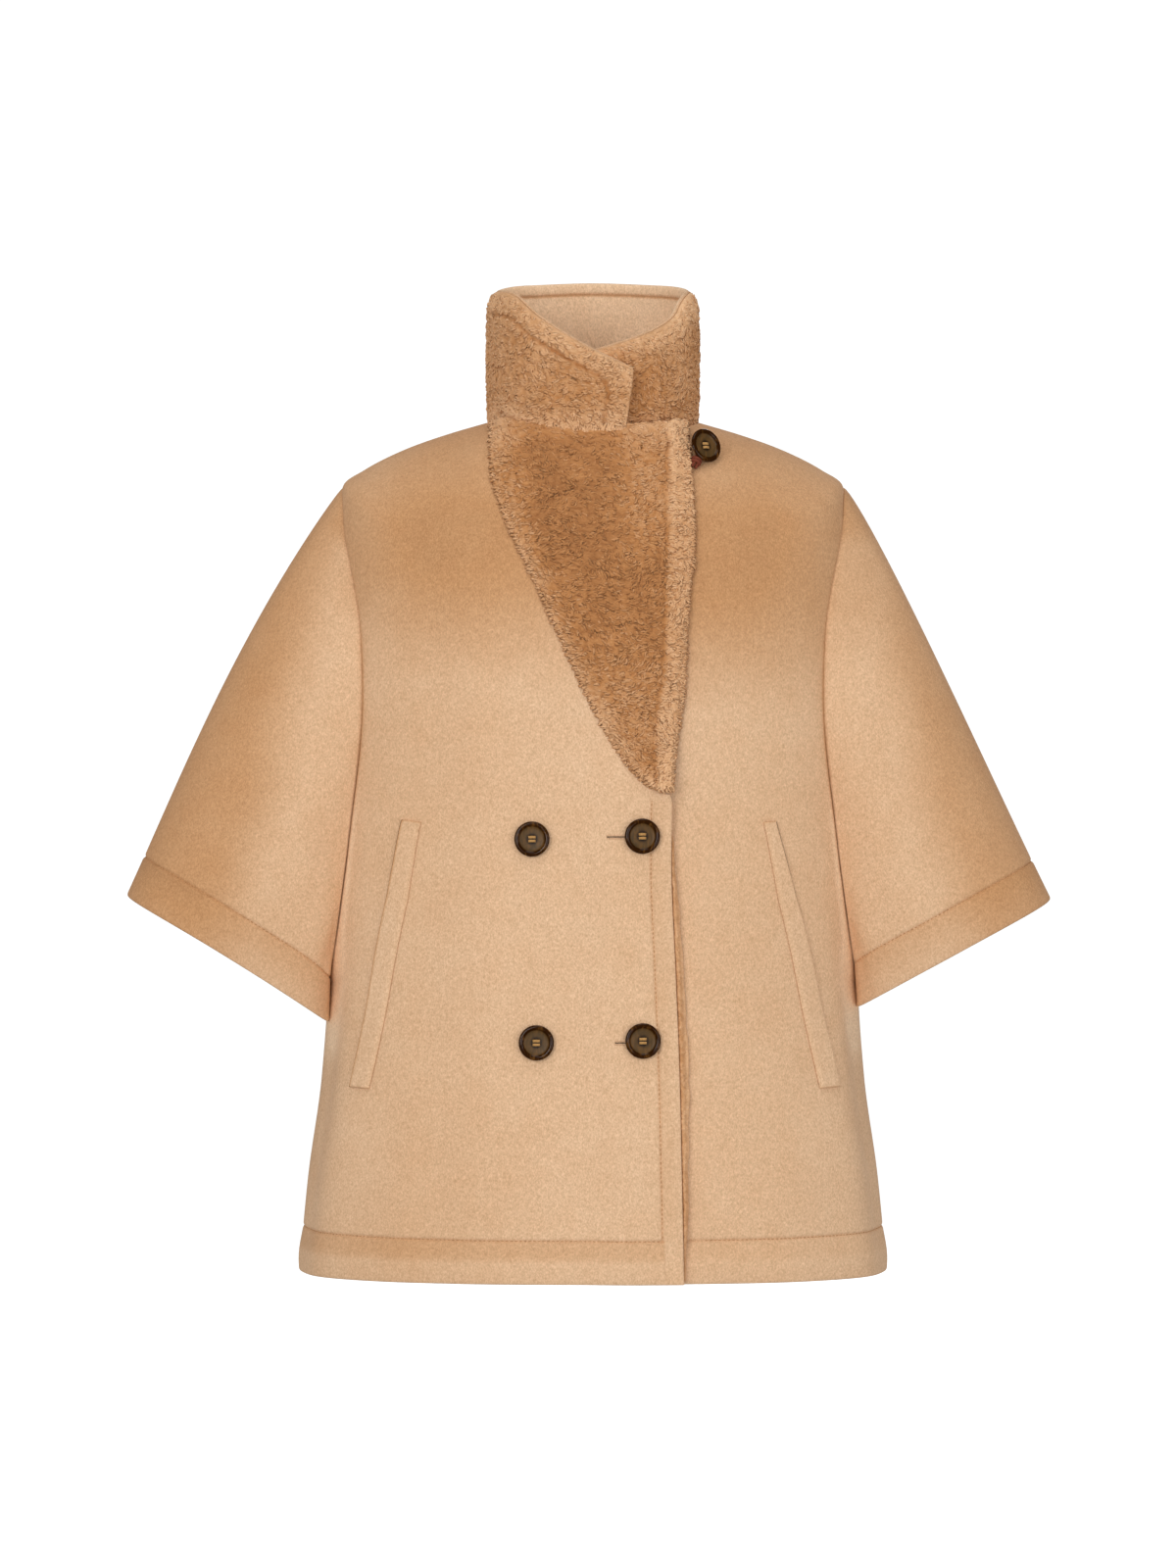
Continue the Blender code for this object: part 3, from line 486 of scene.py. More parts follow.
def grid_faces(rows, columns, first, flip):
    """Quads over a grid of points whose first point has that number."""
    i, j = np.mgrid[0:rows - 1, 0:columns - 1]
    a = first + i * columns + j
    quads = np.stack((a, a + columns, a + columns + 1, a + 1), -1).reshape(-1, 4)
    return (quads[:, ::-1] if flip else quads).tolist()


def grid_rim(rows, columns):
    """The places of a grid's rim, in order round it."""
    rim = [(0, j) for j in range(columns)] + [(i, columns - 1) for i in range(1, rows)]
    rim += [(rows - 1, j) for j in range(columns - 2, -1, -1)]
    return rim + [(i, 0) for i in range(rows - 2, 0, -1)]


def new_mesh(vertices, faces, edges=()):
    mesh = bpy.data.meshes.new("mesh")
    mesh.from_pydata(np.asarray(vertices).tolist(), edges, faces)
    return mesh


def wall_mesh(outer, inner, skip=1):
    """A closed wall between two grids; the inner one may have every skip-th point only."""
    rows, columns = outer.shape[:2]
    few_rows, few_columns = inner.shape[:2]
    first = rows * columns
    faces = grid_faces(rows, columns, 0, False)
    faces += grid_faces(few_rows, few_columns, first, True)
    rim = [i * columns + j for i, j in grid_rim(rows, columns)]
    few_rim = [first + i * few_columns + j for i, j in grid_rim(few_rows, few_columns)]
    for k in range(len(few_rim)):
        stretch = [rim[(k * skip + m) % len(rim)] for m in range(skip + 1)]
        faces.append(stretch + [few_rim[(k + 1) % len(few_rim)], few_rim[k]])
    mesh = new_mesh(np.concatenate((outer.reshape(-1, 3), inner.reshape(-1, 3))), faces)
    bm = bmesh.new()
    bm.from_mesh(mesh)
    bmesh.ops.recalc_face_normals(bm, faces=bm.faces)
    bm.to_mesh(mesh)
    bm.free()
    return mesh


def paint(mesh, name, values):
    """Gives each vertex a number that the material reads."""
    attribute = mesh.attributes.new(name, "FLOAT", "POINT")
    attribute.data.foreach_set("value", np.asarray(values, np.float32).ravel())


def add_object(name, data):
    made = bpy.data.objects.new(name, data)
    bpy.context.scene.collection.objects.link(made)
    return made


def add_piece(name, mesh, look, node=None):
    """An object that rides on the garment, in place of a solid where one is named."""
    mesh.name = name
    mesh.materials.clear()
    mesh.materials.append(materials[look])
    mesh.shade_smooth()
    piece = add_object(name, mesh)
    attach(piece, "root")
    if node:
        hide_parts(node)
    return piece


def rounded(distance, radius=EDGE_ROUND):
    """The share of its thickness that cloth keeps near an edge."""
    share = 1 - np.clip(distance / radius, 0, 1)
    return EDGE_LEFT + (1 - EDGE_LEFT) * np.sqrt(1 - share ** 2)


def nap_and_shading(points):
    """How deep the wool's colour is, from 0 to 1: its nap, with painted shade that makes it
    darker high up, where the cloth faces up, and a little darker towards the sides, where it
    rounds away."""
    x, y, z = np.moveaxis(points, -1, 0)
    off = np.abs(x)
    behind = 0.05 * ease(y / 0.05)
    lower = 0.022 * ease((x - 0.02) / 0.05) * (1 - ease(y / 0.02))
    high = ease((z + 0.252 + behind + lower) / (0.142 + 2 * behind + lower))
    high = high * (1 - 0.25 * ease((z + 0.09) / 0.05))
    high = (high * (1.04 - 0.30 * ease((off - 0.13) / 0.06))
            + 0.05 * ease((off - 0.03) / 0.05) * high)
    aside = 0.20 * ease(off / 0.12) * (1 - 0.6 * ease((off - 0.14) / 0.05))
    aside = aside * (1 - 0.35 * ease(x / 0.05))
    patches = 0.10 * noise(points, 0.085, 3) + 0.06 * noise(points, 0.03, 4)
    return np.clip(np.maximum(high, aside) + patches, 0, 1.15)


def fold_painted_light(points):
    """How much paler the wool is painted where sleeve and torso fold together under the arm:
    painted light against the fold's shade.
    """
    height = points[..., 2]
    from_fold = np.abs(points[..., 0]) - FOLD_X - FOLD_SLOPE * (FOLD_TOP - height)
    under = ease((FOLD_TOP + 0.04 - height) / 0.09) * ease((height + 0.53) / 0.04)
    width = FOLD_WIDTH * (1 + 1.3 * ease((-0.41 - height) / 0.04))
    return FOLD_PAINTED_LIGHT * bell(from_fold, width) * under


def hem_nap_and_shade(from_edge, strength=1.0):
    """A hem's nap with painted shade: deeper from its sewn line down to its middle, where the band
    faces up, and a dark line of painted shade in the sewn line itself.
    """
    share = 1 - from_edge / HEM_STITCH
    band = ease((HEM_STITCH - from_edge) / 0.0012) * (1 - ease((share - 0.36) / 0.18))
    return 0.44 * strength * band + 0.26 * bell(from_edge - HEM_STITCH, 0.0010)


def armhole_strength(at):
    """How much painted shade the armhole's seam gets: none over the shoulder, full below it, and
    faint again towards the underarm.
    """
    return ease((at - 0.26) / 0.12) * (1 - 0.8 * ease((at - 0.45) / 0.2))


def seam_dip(distance, depth=SEAM_DIP, width=SEAM_WIDTH):
    return -depth * (1 - ease(distance / width)) ** 1.5


def seam_shade(tone, distance, strength):
    """Painted shade beside a seam: darker in the seam itself and a little around it."""
    share = 0.70 * bell(distance, 0.0016) + 0.20 * bell(distance, 0.0065)
    return tone + (SEAM_SHADE - tone) * share * strength


def cloth(node, points, normals, low, high, tone, cut="news", inside=None, sewn_on=0.0):
    """A node's wool between two heights over a grid of points, rounded at its cut edges
    but where it is sewn on. tone is its nap with painted light and shade on the outside, and
    inside on its inner face."""
    keep = np.maximum(rounded(edge_distance(points, cut)), sewn_on)
    middle, half = (high + low) / 2, (high - low) / 2 * keep
    skip = 2 if inside is None else 1
    inside = (0.35 + 0.3 * tone if inside is None else inside)[::skip, ::skip]
    inner = lifted(points, normals, middle - half)[::skip, ::skip]
    mesh = wall_mesh(lifted(points, normals, middle + half), inner, skip)
    paint(mesh, "nap_and_shading", np.concatenate((tone.ravel(), inside.ravel())))
    add_piece(node + "_cloth", mesh, "wool", node)


def beside_edge(*lines):
    """Distances from an edge: close to it, and round each sewn line that far in."""
    return np.unique(np.concatenate((NEAR_EDGE, *(line + ROUND_A_LINE for line in lines))))


def shares(length, cell):
    """Places from 0 to 1 along a length, closer together at its ends."""
    near = NEAR_EDGE / length
    inside = np.linspace(0, 1, max(int(length / cell), 4) + 1)
    inside = inside[(inside > 0.005 / length) & (inside < 1 - 0.005 / length)]
    return np.concatenate((near, inside, (1 - near)[::-1]))


# Places on the sleeves and the collar

def armhole_level(share):
    crowded = share - ARMHOLE_CROWDING * np.sin(2 * np.pi * share) / (2 * np.pi)
    return ARMHOLE_TOP + (ARMHOLE_FOOT - ARMHOLE_TOP) * crowded


def armhole_point(side, around):
    """The armhole's edge: around 0 is the shoulder, 1 the underarm, and past 1 the back."""
    share = np.where(around > 1, 2 - around, around)
    behind = (around > 1) == (share >= 0)
    at = armhole_level(np.abs(share))
    angle = panel_end(at)
    angle = side * np.where(behind, 180 - angle, angle)
    return torso(angle, at)


def torso_side_x(y, z):
    """How far out the torso's side is at this depth and height."""
    at = by_halves(lambda at: torso_part["side_z"](at) > z, z, 30)
    share = np.minimum(np.abs(y) / torso_depth(y < 0, at), 1.0)
    return torso_part["half_width"](at) * (1 - share ** SQUARENESS) ** (1 / SQUARENESS)


def cuff_point(side, tip_x, tip_z, inner_z, around):
    """The cuff's edge, an oval from the tip at 0 to the inner end at 1 and round behind."""
    turn = np.pi * around
    share = (1 - np.cos(turn)) / 2
    x = tip_x + (CUFF_INNER_X - tip_x) * share
    arch = CUFF_ARCH * (1.0 if side < 0 else 0.4)
    z = tip_z + (inner_z - tip_z) * share + arch * np.sin(turn) ** 2
    y = -CUFF_DEPTH * power(np.sin(turn), CUFF_SQUARENESS - CUFF_CORNER * share)
    return np.stack((side * x, y, z), -1)


def sleeve_point(sleeve, around, along):
    """The sleeve's outer face: around the arm, and along from the armhole to the cuff."""
    _, side, tip_x, tip_z, inner_z, bow, bow_peak = sleeve
    around, along = np.broadcast_arrays(np.asarray(around, float), np.asarray(along, float))
    start, end = armhole_point(side, around), cuff_point(side, tip_x, tip_z, inner_z, around)
    chord = end - start
    turn = np.pi * around
    flat = np.zeros(turn.shape)
    upper = np.maximum(np.cos(turn), 0.0) ** 2
    on_sleeve = np.maximum(along, 0)
    peaked = np.sin(np.pi * on_sleeve ** (math.log(0.5) / math.log(bow_peak)))
    up_and_out = unit(np.stack((-chord[..., 2] * side, flat, np.abs(chord[..., 0])), -1))
    forward = np.stack((flat, -np.sin(turn), flat), -1)
    point = start + chord * along[..., None]
    point = lifted(point, up_and_out, bow * upper * peaked)
    point = lifted(point, forward, SLEEVE_BULGE * np.sin(np.pi * on_sleeve))
    clear_x = torso_side_x(point[..., 1], point[..., 2]) + UNDERARM_ROOM
    pushed = side * np.maximum(np.abs(point[..., 0]), clear_x)
    point[..., 0] = np.where(np.cos(turn) < UNDERARM_FROM, pushed, point[..., 0])
    return point


def sleeve_length(sleeve, around):
    """The straight way from the armhole to the cuff."""
    return np.linalg.norm(sleeve_point(sleeve, around, 1.0) - sleeve_point(sleeve, around, 0.0),
                          axis=-1)


def sleeve_crease(around, along):
    return crease_height(SLEEVE_CREASES, around, along, 2.0) * ease(along / 0.12)


def sleeve_normal(sleeve, around, along):
    step = 0.004
    across = (sleeve_point(sleeve, around + step, along)
              - sleeve_point(sleeve, around - step, along))
    down = (sleeve_point(sleeve, around, np.clip(along + step, step, 1.0))
            - sleeve_point(sleeve, around, np.clip(along - step, 0.0, 1.0)))
    return unit(np.cross(across, down)) * sleeve[1]


def collar_point(angle, up, inward):
    """A point of the collar and the way out of it, round the neck and up from its foot."""
    turn = np.radians(angle)
    s, c = np.sin(turn), np.cos(turn)
    neckline_z = torso(angle, 0.0)[..., 2]
    rise = ease((angle - COLLAR_LAP_FROM) / COLLAR_RISE_SPAN)
    foot_z = neckline_z - COLLAR_SUNK + COLLAR_RISE * rise
    z = foot_z + (collar_rim_z(angle) - foot_z) * up
    flare = ease((z - neckline_z + COLLAR_SUNK) / COLLAR_FLARE)
    foot = np.where(c >= 0, COLLAR_FRONT, COLLAR_BACK)
    rim = np.where(c >= 0, COLLAR_FRONT_RIM, COLLAR_BACK_RIM)
    depth = foot + (rim - foot) * flare
    half_width = COLLAR_SIDE + (COLLAR_SIDE_RIM - COLLAR_SIDE) * flare
    out = unit(np.stack((s / half_width, -c / depth, np.zeros(s.shape)), -1))
    place = np.stack((half_width * s, -depth * c, z), -1)
    lap = ease((angle - COLLAR_LAP_FROM) / (COLLAR_LAP_TO - COLLAR_LAP_FROM))
    return place + out * (COLLAR_LAP * lap - inward)[..., None], out


# Grids over the torso

def collar_grid(up, across):
    """Angles and heights over the collar, whose lapped end slants."""
    up = up[:, None]
    end = COLLAR_END - COLLAR_END_SLANT * (1 - up)
    angle = COLLAR_START + (end - COLLAR_START) * across
    return angle, np.broadcast_to(up, angle.shape)


def merged(coarse, fine, gap):
    """Sorted places: all the fine ones, and the coarse ones that aren't close to them."""
    coarse, fine = np.asarray(coarse), np.asarray(fine)
    clear = np.min(np.abs(coarse[:, None] - fine[None, :]), axis=1) > gap
    return np.unique(np.concatenate((coarse[clear], fine)))


def odd(places):
    """The same places, an odd number of them."""
    return places if len(places) % 2 else np.delete(places, len(places) // 2)


def panel_levels(cell=0.0042):
    shoulder = np.linspace(0, ARMHOLE_TOP, int(0.15 / cell))
    armhole = armhole_level(np.linspace(0, 1, int(0.42 / cell)))
    skirt = np.linspace(ARMHOLE_FOOT, 1, int(0.24 / cell))
    coarse = np.unique(np.concatenate((shoulder, armhole, skirt)))
    hem = 1 - beside_edge(HEM_STITCH) / HEM_METRES
    return odd(merged(coarse, np.concatenate((NEAR_EDGE / NECK_METRES, hem)), 0.0016))


def columns_between(begin, finish, count):
    """Columns from begin to finish, with about count even ones between: an odd number."""
    count += (begin.shape[1] + count + finish.shape[1] + 1) % 2
    inside = np.linspace(0, 1, count + 2)[1:-1]
    middle = begin[:, -1:] + (finish[:, :1] - begin[:, -1:]) * inside
    return np.concatenate((begin, middle, finish), axis=1)


def torso_grid(levels, first, last, cell, near_first=NEAR_EDGE, near_last=NEAR_EDGE):
    """Angles and sections over a stretch of the torso, with columns at fixed distances in
    metres from its two edges and evenly between them."""
    at = levels[:, None]
    start, end = first(at), last(at)
    begin = start + near_first / metres_a_degree(start, at)
    finish = end - near_last[::-1] / metres_a_degree(end, at)
    width = np.max(walked(torso(start + (end - start) * np.linspace(0, 1, 41), at), 1))
    angle = columns_between(begin, finish, max(int(width / cell), 3))
    return angle, np.broadcast_to(at, angle.shape)


def from_hem(at):
    return (1 - at) * HEM_METRES


def wool_edge_x(z):
    return np.minimum(lapel_seam_x(z), right_edge_x(z))


# The wool

def torso_cloth(node, angle, at, low, high, tone, seam=0.0, cut="news", sewn="", sewn_on=0.0):
    """A node's wool over a stretch of the torso, sunk where it is sewn to the sleeves. Its
    points on the side seams move by seam, to meet the next panel's."""
    points, normals = torso(angle, at), torso_normal(angle, at)
    crease, across = torso_crease(angle, at), walked(points, 1)
    # Its tone: the nap with painted shade, painted light in the fold under the arm, and below,
    # painted shade along its sewn edges
    tone = nap_and_shading(points) + tone + fold_painted_light(points)
    for edge in sewn:
        distance = across if edge == "w" else across[:, -1:] - across
        high = high + seam_dip(distance)
        tone = seam_shade(tone, distance, armhole_strength(at))
    on_side = np.abs(np.cos(np.radians(angle))) < 1e-8
    points[..., 1] += np.where(on_side, seam, 0.0)
    cloth(node, points, normals, low + crease, high + crease, tone, cut, sewn_on=sewn_on)


def build_front_right():
    near_last = np.unique(np.concatenate(((0.006, 0.010), beside_edge(EDGE_STITCH))))
    angle, at = torso_grid(panel_levels(), lambda at: -panel_end(at),
                           lambda at: angle_on_edge(wool_edge_x, at), PANEL_CELL,
                           near_last=near_last)
    place = torso(angle, at)
    from_edge = right_edge_x(place[..., 2]) - place[..., 0]
    under_tip = ease((LAPEL_TIP_Z - place[..., 2]) / 0.004)
    sewn_down = under_tip * ease((from_hem(at) - HEM_STITCH) / 0.002 + 1)
    hemmed = ease((from_edge - EDGE_STITCH) / 0.0025 + 1)
    relief = groove(from_edge - EDGE_STITCH) * sewn_down + hem_relief(from_hem(at)) * hemmed
    lift = right_front_lift(angle, at)
    placket = ease((EDGE_STITCH - from_edge) / 0.002) * ease((from_edge - 0.003) / 0.006)
    # Painted shade in the sewn line beside the edge, and a slightly deeper tone over the band
    # between that line and the edge
    tone = 0.22 * bell(from_edge - EDGE_STITCH, 0.0012) + 0.14 * placket
    tone = hem_nap_and_shade(from_hem(at)) * hemmed + tone * sewn_down
    torso_cloth("front_right", angle, at, lift - WOOL, lift + relief, tone, OVERLAP, "es", "w",
                1 - under_tip)


def build_front_left():
    angle, at = torso_grid(panel_levels(), lambda at: angle_on_edge(left_edge_x, at), panel_end,
                           PANEL_CELL)
    torso_cloth("front_left", angle, at, -WOOL, hem_relief(from_hem(at)),
                hem_nap_and_shade(from_hem(at), 0.4), OVERLAP, "ws", "e")


def build_back():
    angle, at = torso_grid(panel_levels(0.0046), lambda at: 180 - panel_end(at),
                           lambda at: 180 + panel_end(at), 0.0050)
    torso_cloth("back", angle, at, -WOOL, hem_relief(from_hem(at)), hem_nap_and_shade(from_hem(at)),
                -OVERLAP, "s", "we")


def sleeve_nap_and_shade(points, side):
    """The sleeve's nap with painted shade: deep on the shoulder and along the outer edge, where
    the sleeve faces up and rounds away.
    """
    off, height = np.abs(points[..., 0]), points[..., 2]
    on_left = float(side > 0)
    reach = 0.214 + 0.006 * on_left + 0.26 * (-0.142 - height)
    outward = ease((off - reach + 0.034 + 0.010 * noise(points, 0.06, 7)) / 0.070)
    outward = (0.92 - 0.16 * on_left) * outward
    high = 0.85 * ease((height + 0.128) / 0.046)
    upper = (0.42 + 0.12 * on_left) * ease((height + 0.235) / 0.11)
    tone = np.clip(np.maximum(np.maximum(high, outward), np.maximum(upper, 0.12)), 0, 1)
    return tone + 0.08 * noise(points, 0.085, 3) + 0.05 * noise(points, 0.03, 4), outward


def build_sleeve_half(sleeve, half):
    """The front or back half of a sleeve, with its hem at the cuff."""
    around = (0.0 if half == "front" else 1.0) + odd(shares(0.40, PANEL_CELL))[:, None]
    length = sleeve_length(sleeve, around)
    near_cuff = beside_edge(HEM_STITCH)
    room = np.minimum(1.0, CUFF_ROOM * length / near_cuff[-1])
    share = np.minimum(around, 2 - around)
    begin = (NEAR_EDGE * np.minimum(1.0, length * 8) - TUCK * ease((share - 0.03) / 0.15)) / length
    finish = 1 - near_cuff[::-1] * room / length
    along = columns_between(begin, finish, int(0.33 / PANEL_CELL))
    around = np.broadcast_to(around, along.shape)
    points, normals = sleeve_point(sleeve, around, along), sleeve_normal(sleeve, around, along)
    on_seam = np.abs(around - np.round(around)) < 1e-9
    points[..., 1] += np.where(on_seam, OVERLAP if half == "front" else -OVERLAP, 0.0)
    crease = sleeve_crease(around, along)
    from_cuff, from_armhole = (1 - along) * length, walked(points, 1)
    share = np.minimum(around, 2 - around)
    tucked = TUCK_DIP * (0.35 + 0.65 * ease(share / 0.15))
    relief = (hem_relief(from_cuff) * ease((length - 0.020) / 0.030)
              + seam_dip(from_armhole, tucked, TUCK_WIDTH)
              + 0.6 * seam_dip(edge_distance(points, "ns")))
    # Its tone: the nap with painted shade, the cuff's hem, painted shade along the armhole and
    # painted light in the fold under the arm
    tone, outward = sleeve_nap_and_shade(points, sleeve[1])
    tone = tone + hem_nap_and_shade(from_cuff) * (1 - 0.6 * outward)
    tone = seam_shade(tone, from_armhole, armhole_strength(armhole_level(share)))
    cloth(f"sleeve_{sleeve[0]}_{half}", points, normals, crease - WOOL, crease + relief,
          tone + fold_painted_light(points), "e")


def build_collar_wool():
    """The plain wool inside the collar, whose rolled edge tops the fur."""
    near_rim = beside_edge(RIM_BAND) / COLLAR_HEIGHT
    near = np.concatenate((NEAR_EDGE / COLLAR_HEIGHT, 1 - near_rim))
    angle, up = collar_grid(merged(np.linspace(0, 1, 22), near, 0.01), shares(0.5, 0.0042))
    points, out = collar_point(angle, up, FUR_BACKING + FUR_PILE + SEAM)
    points[..., 2] += RIM_ROLL * up
    from_rim = walked(points, 0)[-1:] - walked(points, 0)
    band = 0.0012 * np.sin(np.pi * np.clip(from_rim / RIM_BAND, 0, 1)) ** 0.7
    inside = band + groove(from_rim - RIM_BAND, 0.0012, 0.0010)
    # Its inside is painted light, paler than the wool's own tone against the collar's shade, with
    # a line of painted shade under the rolled band
    cloth("collar_wool", points, out, -WOOL - inside, 0.0, np.full(angle.shape, 0.25), "wes",
          0.9 * bell(from_rim - RIM_BAND, 0.0014) - 0.30)


def welt_angles(side, at):
    """The angle of a welt's middle, and half its width in degrees."""
    share = (at - WELT_TOP[1]) / (WELT_FOOT[1] - WELT_TOP[1])
    middle = WELT_TOP[0] + (WELT_FOOT[0] - WELT_TOP[0]) * share
    return side * middle, WELT_WIDTH / 2 / metres_a_degree(middle, at)


def welt_edge(side, way, at):
    """The angle of a welt's first edge (way -1) or last edge (way 1)."""
    middle, half = welt_angles(side, at)
    edge = "outer" if way == side else "inner"
    angle = middle + way * half * (WELT_SHOWN if edge == "inner" else 1)
    share = (at - WELT_TOP[1]) / (WELT_FOOT[1] - WELT_TOP[1])
    shift = np.interp(share, WELT_SHARES, WELT_SHIFTS[side, edge]) / 1000
    return angle + shift / metres_a_degree(angle, at)


def build_welt(name, side):
    """A folded strip over its front, whose pocket opens at its outer edge."""
    levels = WELT_TOP[1] + (WELT_FOOT[1] - WELT_TOP[1]) * odd(shares(WELT_LENGTH, 0.004))
    angle, at = torso_grid(levels, lambda at: welt_edge(side, -1, at),
                           lambda at: welt_edge(side, 1, at), 0.0015)
    surface = torso(angle, at)
    outer, inner = (edge_distance(surface, edge) for edge in ("we" if side < 0 else "ew"))
    # Painted shade along the welt's edges: deep at the right welt's outer edge, where its pocket
    # opens, faint at the other long edges, moderate at its ends; the strip itself is a little
    # paler
    tone = (1.3 if side < 0 else 0.1) * bell(outer, 0.0016) + 0.10 * bell(inner, 0.0012)
    tone = tone + 0.5 * bell(edge_distance(surface, "ns"), 0.0011) - 0.08
    base = right_front_lift(angle, at) * (side < 0)
    thick = WELT * (0.25 + 0.75 * ease(inner / 0.0040))
    torso_cloth("welt_" + name, angle, at, base + LAYER * 0.25, base + LAYER + thick, tone)

    # The pocket's opening: a dark strip of painted shadow beside the welt's outer edge
    mouth_shadow, at = torso_grid(levels[2:-2], lambda at: welt_edge(side, side, at) + side * 0.02,
                           lambda at: welt_edge(side, side, at) + side * 0.30, 0.001,
                           AT_EDGE, AT_EDGE)
    base = right_front_lift(mouth_shadow, at) * (side < 0) + torso_crease(mouth_shadow, at)
    outer, inner = (over_torso(mouth_shadow, at, base + height)[0] for height in MOUTH_SHADOW_HEIGHTS)
    add_piece(f"pocket_{name}_mouth", wall_mesh(outer, inner), "shade")


# Many short tubes: locks, stitches and threads

def tube_mesh(lines, radii, ups, sides=4, flat=1.0):
    """A mesh of short closed tubes. lines holds the points of each, and ups a way up;
    flat is how high they are for their width."""
    count, steps = lines.shape[:2]
    along = unit(np.gradient(lines, axis=1))
    across = unit(np.cross(along, ups[:, None, :]))
    above = np.cross(across, along)
    turn = 2 * np.pi * np.arange(sides)[:, None] / sides + np.pi / 2
    ring = across[:, :, None] * np.cos(turn) + above[:, :, None] * np.sin(turn) * flat
    vertices = lines[:, :, None] + ring * radii[..., None, None]
    first = (np.arange(count) * steps * sides)[:, None, None]
    step = (np.arange(steps - 1) * sides)[None, :, None]
    side = np.arange(sides)[None, None, :]
    a, b = first + step + side, first + step + (side + 1) % sides
    walls = np.stack((a, b, b + sides, a + sides), -1).reshape(-1, 4)
    starts = first[:, 0] + np.arange(sides)[::-1]
    ends = first[:, 0] + (steps - 1) * sides + np.arange(sides)
    return new_mesh(vertices.reshape(-1, 3), walls.tolist() + starts.tolist() + ends.tolist())


def even_tubes(lines, radius, up, sides=4):
    """Tubes as thick all along, with one way up or one for each."""
    return tube_mesh(lines, np.full(lines.shape[:2], radius), up * np.ones((len(lines), 1)), sides)


def strand_mesh(place, ways, u, v, w, radii, tones):
    """A mesh of bent flat locks: u, v and w are their points' places along three ways."""
    right, ahead, out = ways
    lines = (place[:, None] + right[:, None] * u[..., None] + ahead[:, None] * v[..., None]
             + out[:, None] * w[..., None])
    mesh = tube_mesh(lines, radii, out, CURL_SIDES, CURL_FLAT)
    tint = np.repeat(tones, CURL_STEPS * CURL_SIDES).reshape(len(place), CURL_STEPS, CURL_SIDES)
    # Painted light and shade: each lock paler on top and darker on its two lower sides
    lit_top_and_shaded_sides = np.array((0.05, -0.13, -0.13))
    paint(mesh, "tone", np.clip(tint + lit_top_and_shaded_sides, 0, 1))
    return mesh


def curls(points, normals, tones, count, seed, length=0.0066, thick=0.0014):
    """Curly locks of pile, bent and lying in waves, on points picked from a surface."""
    random = np.random.default_rng(seed)
    picked = random.choice(len(points), count)
    place, out, tone = points[picked], normals[picked], tones[picked]
    heading = noise(place, 0.018, seed + 3) * 1.3 + random.normal(0, 0.40, count)
    bend = random.choice((-1, 1), count) * random.uniform(0.4, 2.4, count)
    reach = length * random.uniform(0.6, 1.25, count)
    right = unit(np.cross(Z_AXIS, out))
    t = np.linspace(-0.5, 0.5, CURL_STEPS)
    angles = heading[:, None] + bend[:, None] * t
    u, v = (np.cumsum(turned(angles) * reach[:, None], axis=1) / CURL_STEPS
            for turned in (np.cos, np.sin))
    u, v = u - u.mean(axis=1, keepdims=True), v - v.mean(axis=1, keepdims=True)
    w = (thick * (0.40 * (1 - (2 * t) ** 2) - 0.26)
         + thick * random.uniform(-0.10, 0.14, count)[:, None])
    radii = thick * CURL_TAPER * random.uniform(0.65, 1.25, count)[:, None]
    tone = np.clip(tone + random.normal(0.0, 0.07, count), 0, 1)
    return strand_mesh(place, (right, np.cross(out, right), out), u, v, w, radii, tone)


def along_line(places, walk, rows):
    """Rows of points along a line, at these distances walked along it."""
    return np.stack([np.interp(places, walk, rows[:, k]) for k in range(3)], -1)


def edge_tufts(line, outward, ups, tones, seed, pitch=0.0012, inside=0.0045, outside=0.0024,
               drop=0.0024, thick=0.0012):
    """Locks of pile along a line, that lie across it this way and that and droop."""
    random = np.random.default_rng(seed)
    walk = walked(line[None], 1)[0]
    places = np.arange(pitch / 2, walk[-1], pitch)
    count = len(places)
    places = places + random.uniform(-1, 1, count) * pitch
    place, out, up = (along_line(places, walk, rows) for rows in (line, outward, ups))
    out, up = unit(out), unit(up)
    t = np.linspace(0, 1, CURL_STEPS)
    reach_in = inside * random.uniform(0.3, 1.3, count)[:, None]
    scallop = 1 + 0.5 * noise(place, 0.0045, seed)
    reach_out = outside * (scallop * random.uniform(0.4, 1.3, count))[:, None]
    u = -reach_in + (reach_in + reach_out) * t
    v = (random.normal(0, 0.0018, count)[:, None] * (t - 0.3)
         + random.normal(0, 0.0010, count)[:, None] * np.sin(np.pi * t))
    w = (thick * (0.5 * np.sin(np.pi * t) - 0.3)
         + thick * random.uniform(-0.1, 0.25, count)[:, None] - drop * ease((t - 0.40) / 0.60))
    radii = thick * CURL_TAPER * random.uniform(0.8, 1.2, count)[:, None]
    tone = np.interp(places, walk, tones) + random.normal(0, 0.07, count)
    return strand_mesh(place, (out, unit(np.cross(out, up)), up), u, v, w, radii,
                       np.clip(tone, 0, 1))


def pile(across, down, seed):
    """Curly pile's relief, up to about 1: winding ridges parted by narrow gaps."""
    place = np.stack((across, down, np.zeros(across.shape)), -1)
    place = (place + 0.0045 * noise_vector(place, 0.015, seed)
             + 0.0013 * noise_vector(place, 0.0045, seed + 5))
    place = place * np.array((0.55, 1.0, 1.0))
    gaps = bell(noise(place, 0.0034, seed + 9), 0.26)
    return 1 - 1.6 * gaps + 0.5 * noise(place, 0.0085, seed + 12)


def joined(meshes):
    """One mesh of several, with their numbers for the material."""
    bm = bmesh.new()
    for mesh in meshes:
        bm.from_mesh(mesh)
        bpy.data.meshes.remove(mesh)
    result = bpy.data.meshes.new("joined")
    bm.to_mesh(result)
    bm.free()
    return result


